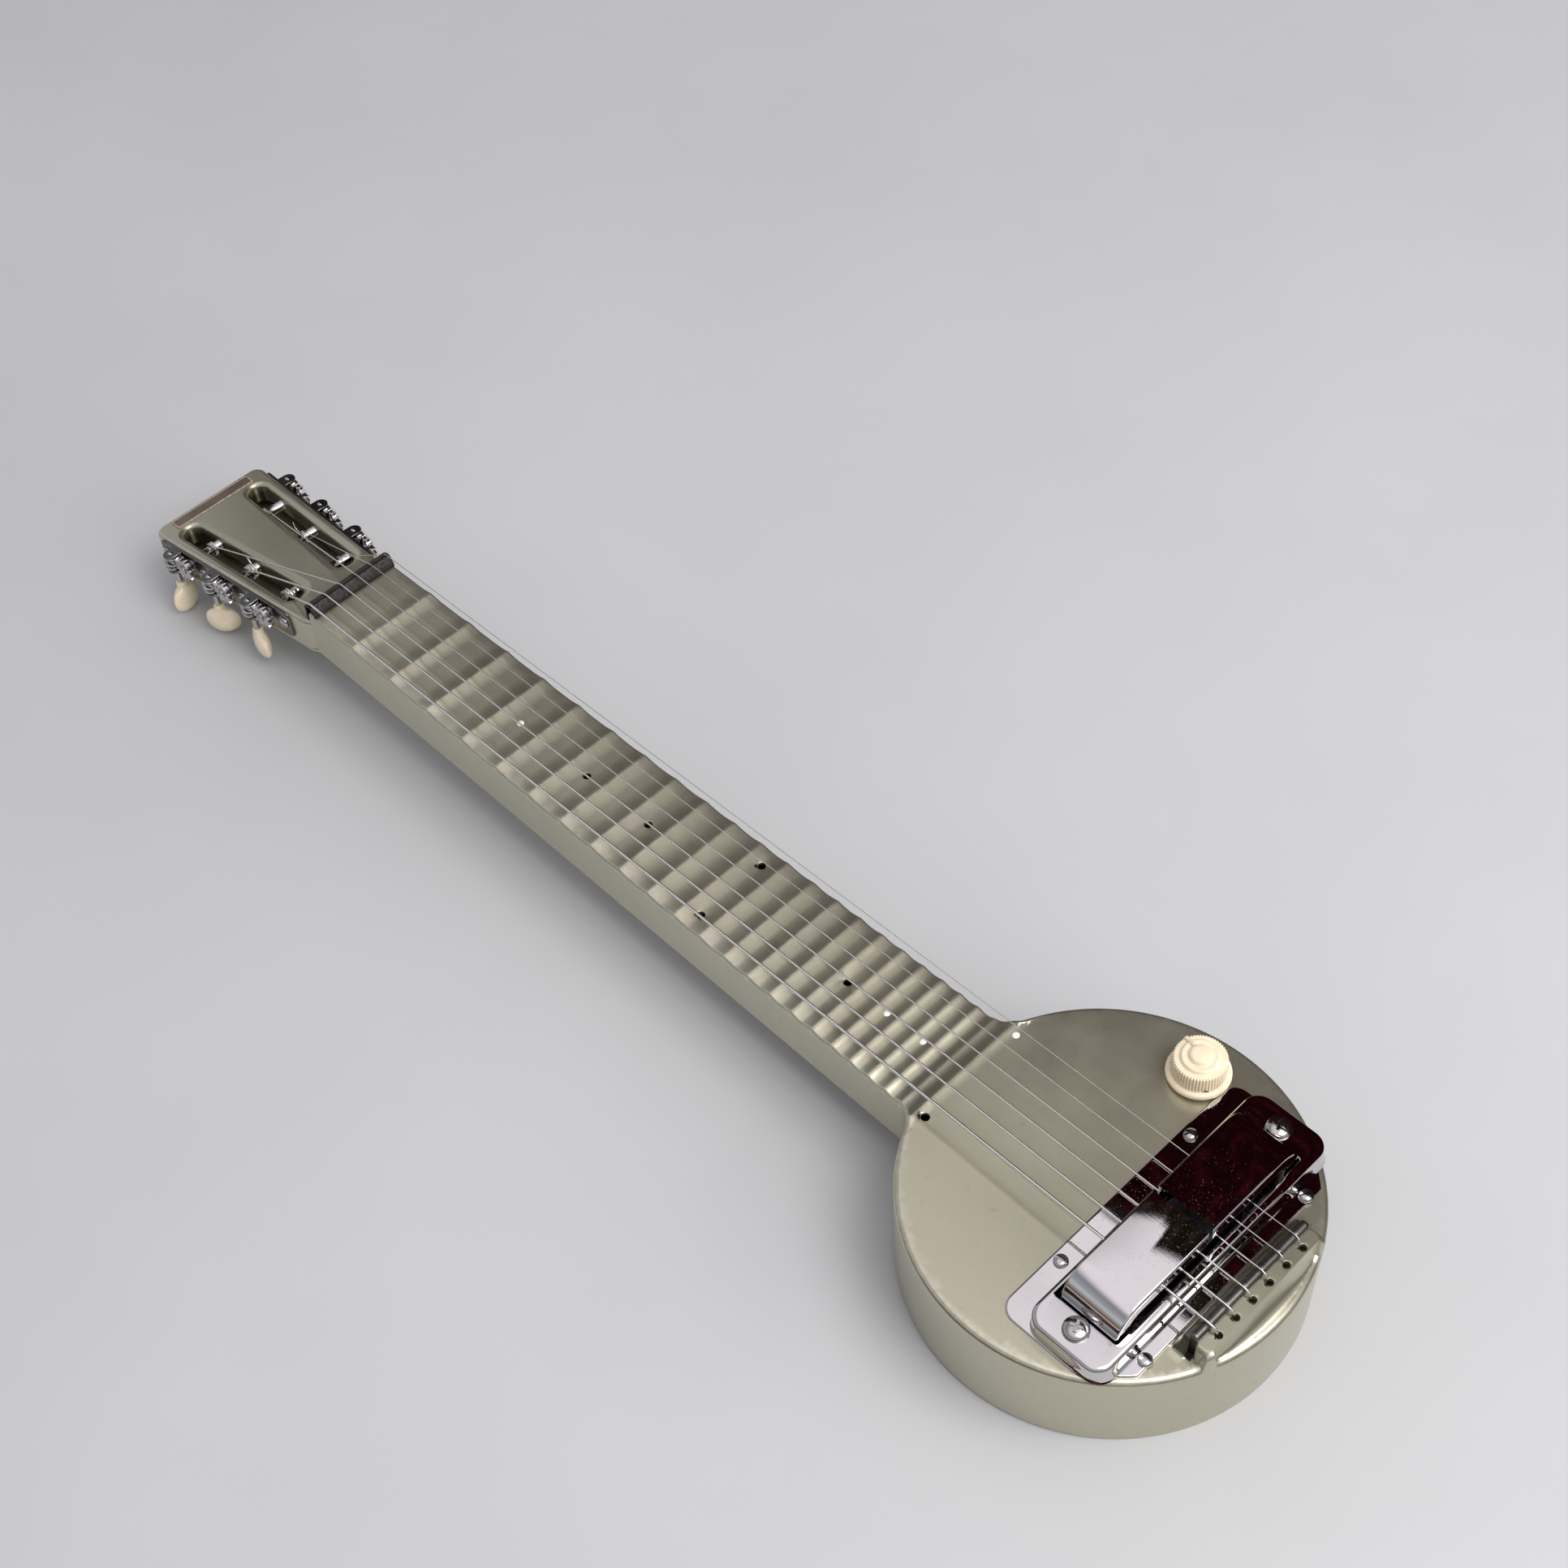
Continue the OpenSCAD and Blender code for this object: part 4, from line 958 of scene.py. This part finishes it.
def build_cover():
    """A raised frame with a rolled edge and a small lip round its opening."""
    bm = bmesh.new()
    foot = ((-0.3, PLATE_TOP + 0.05), (-0.2, PLATE_TOP + 0.4), (0, PLATE_TOP + 0.9), (0, 7.5))
    rings = [cover_outline(inset, z) for inset, z in foot]
    rings += [cover_outline(inset, COVER_TOP - drop) for inset, drop in quarter_roll(1.7, 8)]
    for grow, drop in ((0.6, 0.0), (0.35, 0.03), (0.15, 0.12), (0.03, 0.3), (0, 0.55), (0, 4.0)):
        lip = rounded_rect(521 - grow, 553.2 + grow, -57.6 - grow, 57.6 + grow, 1.2 + grow, COVER_STEPS)
        rings.append(at_height(lip, COVER_TOP - drop))
    loft(bm, rings, caps=NO_CAPS)
    add_piece("pickup_frame", bm, GUITAR, "chrome", ("pickup_cover",), sharp=45)


def magnet_section(inset):
    """U on its side, mouth at the centre line: (y, z) points round the outside and back along the inside."""
    mouth, reach, low, top = 1.5 + inset, 57.0 - inset, -18.0 + inset, 26.0 - inset
    thick, r, q = 8.0 - 2 * inset, 14.0 - inset, 6.0 + inset
    inner_y, inner_top, inner_low = reach - thick, top - thick, low + thick
    bend, inner_bend = arc(0, pi / 2, 14), arc(0, pi / 2, 10)
    points = [(mouth, top), (mouth + 14, top), (mouth + 28, top)]
    points += [(reach - r + r * sin(s), top - r + r * cos(s)) for s in bend]
    points += [(reach - r + r * cos(s), low + r - r * sin(s)) for s in bend]
    points += [(mouth, low), (mouth, inner_low)]
    points += [(inner_y - q + q * sin(s), inner_low + q - q * cos(s)) for s in inner_bend]
    points += [(inner_y - q + q * cos(s), inner_top - q + q * sin(s)) for s in inner_bend]
    return points + [(mouth, inner_top)]


def build_magnet(name, side):
    bm = bmesh.new()
    edge = quarter_roll(1.1, 5)
    stations = [(PICKUP_X - 14.5 + drop, inset) for inset, drop in reversed(edge)]
    stations += [(PICKUP_X + 14.5 - drop, inset) for inset, drop in edge]
    loft(bm, [[(x, side * y, z) for y, z in magnet_section(inset)] for x, inset in stations])
    add_piece(f"{name}_bar", bm, GUITAR, "chrome", (name,), sharp=40)


# ---- Volume knob ----

def build_knob():
    """Flange, deeply fluted crown, two steps up to a dome, a slim pointer ridge and a dark chip."""
    low, flutes = 3.4, 54

    def fluted(r, z, a):
        if 11.1 < r < 12.4 and low + 2.9 < z < 15.1:
            return r - 0.7 * smooth(-0.3, 0.7, cos(flutes * a))
        return r

    flange = ((0.02, 0), (10, 0), (13.7, 0), (14.05, 0.25), (14.2, 0.7), (14.2, 1.5), (14.05, 2.0),
              (13.6, 2.4), (12.9, 2.7), (12.45, 2.85), (12.25, 3.1), (12.15, 4.0))
    crown = [(11.95, 11.0), (11.8, 14.2), (11.7, 14.55), (11.45, 14.8), (11.15, 14.9), (11.0, 14.92),
             (10.2, 14.93), (9.3, 14.9), (8.9, 14.95), (8.65, 15.3), (8.5, 15.95), (8.25, 16.4), (7.8, 16.6),
             (7.2, 16.6), (6.5, 16.4), (5.9, 16.15), (5.5, 16.15), (5.25, 16.5), (5.1, 17.2), (4.85, 17.75),
             (4.4, 18.1), (3.6, 18.35), (2.4, 18.5), (1.1, 18.56), (0.02, 18.57)]
    knob_place = GUITAR @ shift(KNOB.x, KNOB.y, 0)
    bm = bmesh.new()
    lathe(bm, [(r, low + z) for r, z in flange] + crown, flutes * 8, shape=fluted)
    add_piece("pointer_knob", bm, knob_place, "cream_plastic", ("volume_knob",), "volume_control", 40)
    bm = bmesh.new()
    rings = []
    for k in range(15):
        t = k / 14
        r, half = 5.2 + 6.5 * t, 0.75 + 0.3 * t
        top = 17.75 - 1.6 * smooth(0, 0.9, t) - 0.5 * smooth(0.88, 1, t)
        left = [(r, -half, 14.4), (r, -half * 0.95, top - 0.35), (r, -half * 0.5, top)]
        rings.append(left + [(x, -y, z) for x, y, z in reversed(left)])
    loft(bm, rings)
    place = knob_place @ spin(162)
    add_piece("knob_pointer", bm, place, "cream_plastic", body="volume_control", sharp=60)
    bm = bmesh.new()
    chip = ((0.0, -1.1), (0.35, -0.9), (0.5, -0.2), (0.95, 0.5), (0.7, 1.2), (0.1, 0.7), (-0.3, 0.2),
            (-0.35, -0.6))
    loft(bm, [at_height(chip, z) for z in (0.0, 0.12)])
    turn = spin(-38)
    place = knob_place @ turn @ shift(12.15, 0, 7.6) @ spin(90, "Y")
    add_piece("knob_chip", bm, place, "black_fibre", body="volume_control")


# ---- Tuners ----

STRIP_SCREW_X = (-24.5, -58.0, -90.5, -122.0)
STRIP_SCREW_DEPTH = 8.0
WORM_TOP, WORM_LENGTH = -POST_DEPTH + 4.0, 8.0
TUNER_PITCH, LUG = 32.5, 1.2


def side_wall_place(side, x):
    """Same axes as a tuner frame, beside any point of the side wall."""
    turn = Matrix.Rotation(-HEAD_TURN, 4, "Z")
    mirror = Matrix.Diagonal((1, side, 1, 1))
    return HEAD @ mirror @ shift(x, head_side(x), 0) @ turn


def build_strip(name, side):
    """Plate along the side wall with a window behind each worm and a pair of bearing lugs round it."""
    plate, cutter = bmesh.new(), bmesh.new()
    worms = [TUNER_PITCH * k - WORM_OFFSET for k in (-1, 0, 1)]
    loft(plate, [[(x, y, z) for x, z in rounded_rect(-57 + inset, 50 - inset, -17 + inset, -1 - inset, 3, 6)]
                 for y, inset in ((0.05, 0.0), (0.9, 0.0), (1.22, 0.3))])
    for x in worms:
        box(cutter, (x - 3.2, -1, WORM_TOP - WORM_LENGTH - 0.3), (x + 3.2, 2, WORM_TOP + 0.3))
    bm = cut_from(plate, cutter)
    lug = [(4.0, 1.0)] + [polar(4.0, a, 0, WORM_Y) for a in arc(0, pi, 16)] + [(-4.0, 1.0)]
    for x in worms:
        for z in (WORM_TOP + 0.3, WORM_TOP - WORM_LENGTH - 0.3 - LUG):
            levels = ((z, 0.25), (z + 0.25, 0.0), (z + LUG - 0.25, 0.0), (z + LUG, 0.25))
            loft(bm, [[(x + u * (1 - inset / 4), 1.0 + (y - 1.0) * (1 - inset / 8), level) for u, y in lug]
                      for level, inset in levels])
    place = side_wall_place(side, -37.2 - TUNER_PITCH)
    add_piece(f"{name}_plate", bm, place, "dark_steel", (name,), sharp=40)


def gear_ring(inset=0.0):
    outer = GEAR_MODULE * (GEAR_TEETH + 2) / 2 - 0.1
    root = GEAR_MODULE * (GEAR_TEETH - 2.3) / 2
    phase = pi - pi / GEAR_TEETH
    flank = ((-0.30, 0.0), (-0.24, 0.12), (-0.19, 0.6), (-0.13, 0.93), (-0.08, 1.0))
    tooth = flank + tuple((-share, height) for share, height in reversed(flank))
    return [polar(root + (outer - root) * height - inset, phase + 2 * pi * (k + share) / GEAR_TEETH)
            for k in range(GEAR_TEETH) for share, height in tooth]


def build_gear(i):
    """Toothed wheel with softened faces, a hub step and the slotted screw that holds it."""
    bm = bmesh.new()
    axle = shift(0, WORM_Y, -POST_DEPTH) @ ON_Y
    layers = ((-1.5, 0.2), (-1.3, 0.0), (1.3, 0.0), (1.5, 0.2))
    rings = [[axle @ Vector((x, y, z)) for x, y in gear_ring(inset)] for z, inset in layers]
    made = loft(bm, rings, caps=NO_CAPS)
    angles = [atan2(y, x) for x, y in gear_ring()]
    for ring, z in ((made[0], -1.5), (made[-1], 1.5)):
        chain = [ring]
        for r, level in ((4.9, z), (4.6, z * 0.8), (3.2, z * 0.8), (3.0, z)):
            chain.append(new_ring(bm, [axle @ Vector((*polar(r, a), level)) for a in angles]))
        for a, b in zip(chain, chain[1:]):
            bridge(bm, a, b)
        bm.faces.new(chain[-1])
    roller = f"string_roller_{i}"
    add_piece(f"gear_wheel_{i}", bm, TUNER[i], "nickel", (f"tuner_gear_{i}",), body=roller, sharp=35)
    place = TUNER[i] @ shift(0, WORM_Y + 1.5, -POST_DEPTH) @ OUTWARDS
    screw = slotted_screw(2.5, 1.3, 25 + 40 * i, 0.6)
    add_piece(f"gear_screw_{i}", screw, place, "nickel", body=roller, sharp=32)


def build_post(i):
    """Roller with a waist where the string winds, and a collar at each end."""
    bm = bmesh.new()
    profile = [(0.05, -7.4), (1.85, -7.4), (1.85, -2.2), (2.7, -2.1), (3.0, -1.8), (3.0, 6.4), (2.9, 6.9),
               (2.75, 7.4), (2.72, 17.6), (2.9, 18.2), (3.0, 18.6), (3.0, 22.3), (2.75, 22.7), (0.05, 22.9)]
    lathe(bm, profile, 36, shift(0, 0, -POST_DEPTH) @ ON_Y)
    add_piece(f"string_post_{i}", bm, TUNER[i], "nickel", (f"tuner_post_{i}",), f"string_roller_{i}", 40)


def build_worm(i):
    """Screw thread cut on the key's shaft, a cap above the top lug, and the shaft down to the button."""
    bm = bmesh.new()
    pitch = pi * GEAR_MODULE
    outer = WORM_OFFSET - GEAR_MODULE * GEAR_TEETH / 2 + GEAR_MODULE - 0.15
    core = WORM_OFFSET - (GEAR_MODULE * (GEAR_TEETH + 2) / 2 - 0.1) - 0.25
    shaft, low, cap = 1.48, WORM_TOP - WORM_LENGTH, WORM_TOP + LUG
    middle = shift(-WORM_OFFSET, WORM_Y, 0)
    per_turn, turns = 40, 2.25
    count = int(per_turn * turns)
    rings = []
    for k in range(count + 1):
        t = k / per_turn - turns / 2
        rise = core + (outer - core) * max(0.05, min(1.0, 8 * k / count, 8 * (count - k) / count))
        half = ((core - 0.2, 0.25), (rise - 0.25, 0.15), (rise, 0.11))
        thread = [(r, -z) for r, z in half] + list(reversed(half))
        a = 2 * pi * t
        rings.append([middle @ Vector((*polar(r, a), -POST_DEPTH + pitch * (t + z))) for r, z in thread])
    loft(bm, rings)
    profile = [(0.05, cap + 0.85), (1.0, cap + 0.8), (1.45, cap + 0.5), (shaft, WORM_TOP),
               (core - 0.25, WORM_TOP), (core, WORM_TOP - 0.25), (core, low + 0.25), (core - 0.25, low),
               (shaft, low), (shaft, -23.0), (shaft, -30.0), (0.05, -30.2)]
    lathe(bm, profile, 32, middle)
    add_piece(f"worm_screw_{i}", bm, TUNER[i], "nickel", (f"tuner_worm_{i}",), f"tuner_key_{i}", 35)


def build_button(i):
    """Oval button, thick in the middle and thin at its edge, on a flared neck."""
    bm = bmesh.new()
    half_w, half_t, half_h = BUTTON_WIDTH / 2, BUTTON_THICK / 2, BUTTON_HEIGHT / 2
    rings = []
    steps, sides = 26, 48
    for k in range(steps + 1):
        v = pi * k / steps
        z = -half_h * cos(v)
        width, depth = (sin(v) ** 0.82, sin(v) ** 0.7) if 0 < k < steps else (0.01, 0.01)
        neck = smooth(0.72, 1.0, z / half_h)
        ring = []
        for a in full_turn(sides):
            c, s = cos(a), sin(a)
            x = half_w * width * copysign(abs(c) ** 0.95, c)
            y = half_t * depth * s * (1 - 0.30 * abs(c) ** 3) if 0 < k < steps else depth * s
            ring.append((x * (1 - neck) + 2.9 * c * neck, y * (1 - neck) + 2.9 * s * neck, z))
        rings.append(ring)
    for r, rise in ((2.85, 0.6), (2.75, 1.6), (2.6, 2.3), (2.2, 2.5), (1.5, 2.5)):
        rings.append(at_height(circle(0, 0, r, sides), half_h + rise))
    loft(bm, rings)
    place = (TUNER[i] @ shift(-WORM_OFFSET, WORM_Y, -BUTTON_BOTTOM + half_h)
             @ spin(BUTTON_TURN[i - 1]))
    add_piece(f"oval_button_{i}", bm, place, "cream_plastic", (f"tuner_button_{i}",), f"tuner_key_{i}", 60)


def build_strip_screws():
    for side, word in ((-1, "bass"), (1, "treble")):
        for k, x in enumerate(STRIP_SCREW_X):
            bm = slotted_screw(3.2, 1.8, 40 + 35 * k + 20 * side, 0.7)
            place = side_wall_place(side, x) @ shift(0, 1.24, -STRIP_SCREW_DEPTH) @ OUTWARDS
            add_piece(f"strip_screw_{word}_{k + 1}", bm, place, "nickel", ("tuner_strip_screws",), sharp=32)


# ---- Studio ----

def build_stage():
    bm = bmesh.new()
    bmesh.ops.create_grid(bm, x_segments=1, y_segments=1, size=30)
    floor = new_object("floor", bm)
    n = Nodes(bpy.data.materials.new("floor_paper"))
    tone = n.mixed(n.ranged(n.noise(3, 4), 0.3, 0.7, 0, 1), rgb(0.50, 0.51, 0.525), rgb(0.54, 0.55, 0.565))
    n.feed(n.shader, {"Base Color": tone, "Roughness": 0.9})
    floor.data.materials.append(n.owner)


def area_light(name, spot, aim, size, power, tint, mirrored=True):
    """A soft panel aimed at the body. One that isn't mirrored gives light and isn't seen in the chrome."""
    light = bpy.data.lights.new(name, "AREA")
    light.shape = "RECTANGLE"
    light.size, light.size_y = size
    light.energy = power
    light.color = tint
    lamp = bpy.data.objects.new(name, light)
    lamp.location = spot
    lamp.visible_glossy = mirrored
    lamp.rotation_euler = (Vector(aim) - Vector(spot)).to_track_quat("-Z", "Y").to_euler()
    bpy.context.scene.collection.objects.link(lamp)


def glossy_card(name, color, corners):
    """A studio card that only reflections see, as they see a room's dark side. Corners in millimetres."""
    bm = bmesh.new()
    bm.faces.new(new_ring(bm, [GUITAR @ Vector(p) for p in corners]))
    card = new_object(name, bm)
    n = Nodes(bpy.data.materials.new(name))
    patch = n.ranged(n.noise(38, 6, 0.6), 0.5, 0.7, 0, 1)
    tone = n.mixed(patch, rgb(*(c * 0.25 for c in color)), rgb(*color))
    n.feed(n.shader, {"Base Color": tone, "Roughness": 1.0, "Specular IOR Level": 0.0})
    card.data.materials.append(n.owner)
    for kind in ("camera", "diffuse", "shadow", "transmission"):
        setattr(card, "visible_" + kind, False)


def build_world():
    """A bright soft ceiling over a banded room, for light and reflections, and a plain pale backdrop."""
    world = bpy.data.worlds.new("studio")
    bpy.context.scene.world = world
    n = Nodes(world, "Background", "Generated")
    ceiling = {0: n.place, 1: Vector((0.15, 0.05, 0.99)).normalized()}
    toward = n.add("VectorMath", ceiling, operation="DOT_PRODUCT").outputs["Value"]
    limits = {"Value": toward, "From Min": 0.64, "From Max": 0.88}
    share = n.add("MapRange", limits, interpolation_type="SMOOTHSTEP").outputs["Result"]
    height = n.add("SeparateXYZ", {0: n.place}).outputs["Z"]
    walls = n.add("ValToRGB", {"Fac": height})
    bands = ((0.0, (0.10, 0.085, 0.075)), (0.14, (0.36, 0.27, 0.21)), (0.24, (0.46, 0.47, 0.47)),
             (0.36, (0.60, 0.66, 0.69)), (0.52, (0.42, 0.43, 0.46)), (0.75, (0.30, 0.31, 0.33)))
    ramp = walls.color_ramp.elements
    while len(ramp) < len(bands):
        ramp.new(0.5)
    for element, (at, tint) in zip(ramp, bands):
        element.position = at
        element.color = rgb(*tint)
    room = n.mixed(share, walls.outputs["Color"], rgb(1.04, 0.98, 1.0))
    seen = n.add("LightPath").outputs["Is Camera Ray"]
    n.feed(n.shader, {"Color": n.mixed(seen, room, rgb(0.60, 0.61, 0.63))})


def build_light():
    """Two soft panels, and the dark cards that stand for the case round the guitar, in reflections only."""
    build_world()
    area_light("tail_wash", (2.2, 0.5, 0.75), (0.2, 0, 0), (2.4, 1.3), 30, (1.0, 0.98, 0.95), mirrored=False)
    area_light("key", (1.25, 0.2, 1.85), (0.15, 0, 0), (1.3, 1.3), 24, (1.0, 0.975, 0.94))
    glossy_card("lid_card", (0.062, 0.007, 0.013), (
        (-500, 150, -40), (760, 150, -40), (760, 176, 376), (-500, 176, 376)))
    glossy_card("lid_edge_card", (0.055, 0.041, 0.024), (
        (-500, 176, 376), (760, 176, 376), (760, 178, 449), (424, 178, 447), (423, 178, 437), (425, 178, 424),
        (422, 178, 418), (425, 178, 411), (410, 178, 407), (404, 178, 402), (-500, 178, 385)))
    glossy_card("bass_wall_card", (0.16, 0.085, 0.05), (
        (-200, -150, -45), (700, -150, -45), (700, -175, 6), (-200, -175, 6)))
    glossy_card("tail_wall_card", (0.10, 0.02, 0.03), (
        (690, -170, -45), (690, 150, -45), (700, 150, 4), (700, -170, 4)))


def build_camera():
    """Over the bass side of the tail, looking towards the headstock."""
    azimuth, elevation, roll = radians(47.87), radians(50.35), radians(-3.48)
    eye = Vector((804.8, -441.1, 901.2))
    flat = cos(elevation)
    back = Vector((sin(azimuth) * flat, -cos(azimuth) * flat, sin(elevation)))
    level = Vector((cos(azimuth), sin(azimuth), 0))
    right = level * cos(roll) + back.cross(level) * sin(roll)
    up = back.cross(right)
    data = bpy.data.cameras.new("camera")
    data.lens, data.sensor_width = 57.22, 36
    data.clip_start = 0.02
    data.clip_end = 100
    camera = bpy.data.objects.new("camera", data)
    turn = REST_TURN @ Matrix((right, up, back)).transposed().to_4x4()
    camera.matrix_world = Matrix.Translation(GUITAR @ eye) @ turn
    bpy.context.scene.collection.objects.link(camera)
    bpy.context.scene.camera = camera


# ---- Everything ----

build_camera()
build_stage()
build_light()
dress_cad_nodes()
build_stamping()
build_headstock()
build_nameplate()
build_nut()
build_markers()
build_strings()
build_ball_ends()
build_rod()
build_base_plate()
build_cover()
build_magnet("magnet_bass", -1)
build_magnet("magnet_treble", 1)
place_screws("plate_screw",
             [(x, s * y, PLATE_TOP, 30 + 25 * s) for x, y in ((510.6, 40.9), (562.7, 50.8)) for s in SIDES],
             lambda turn: slotted_screw(3.2, 2.0, turn, 0.75), ("base_plate_screws",))
place_screws("frame_screw", [(PICKUP_X - 0.5, s * 63.4, COVER_TOP, 20) for s in SIDES],
             lambda turn: cross_screw(5.7, 3.0, turn), ("cover_screws",))
build_knob()
build_strip("tuner_strip_bass", -1)
build_strip("tuner_strip_treble", 1)
build_strip_screws()
for i in STRINGS:
    build_gear(i)
    build_post(i)
    build_worm(i)
    build_button(i)

view = bpy.context.scene.view_settings
view.view_transform = "Standard"
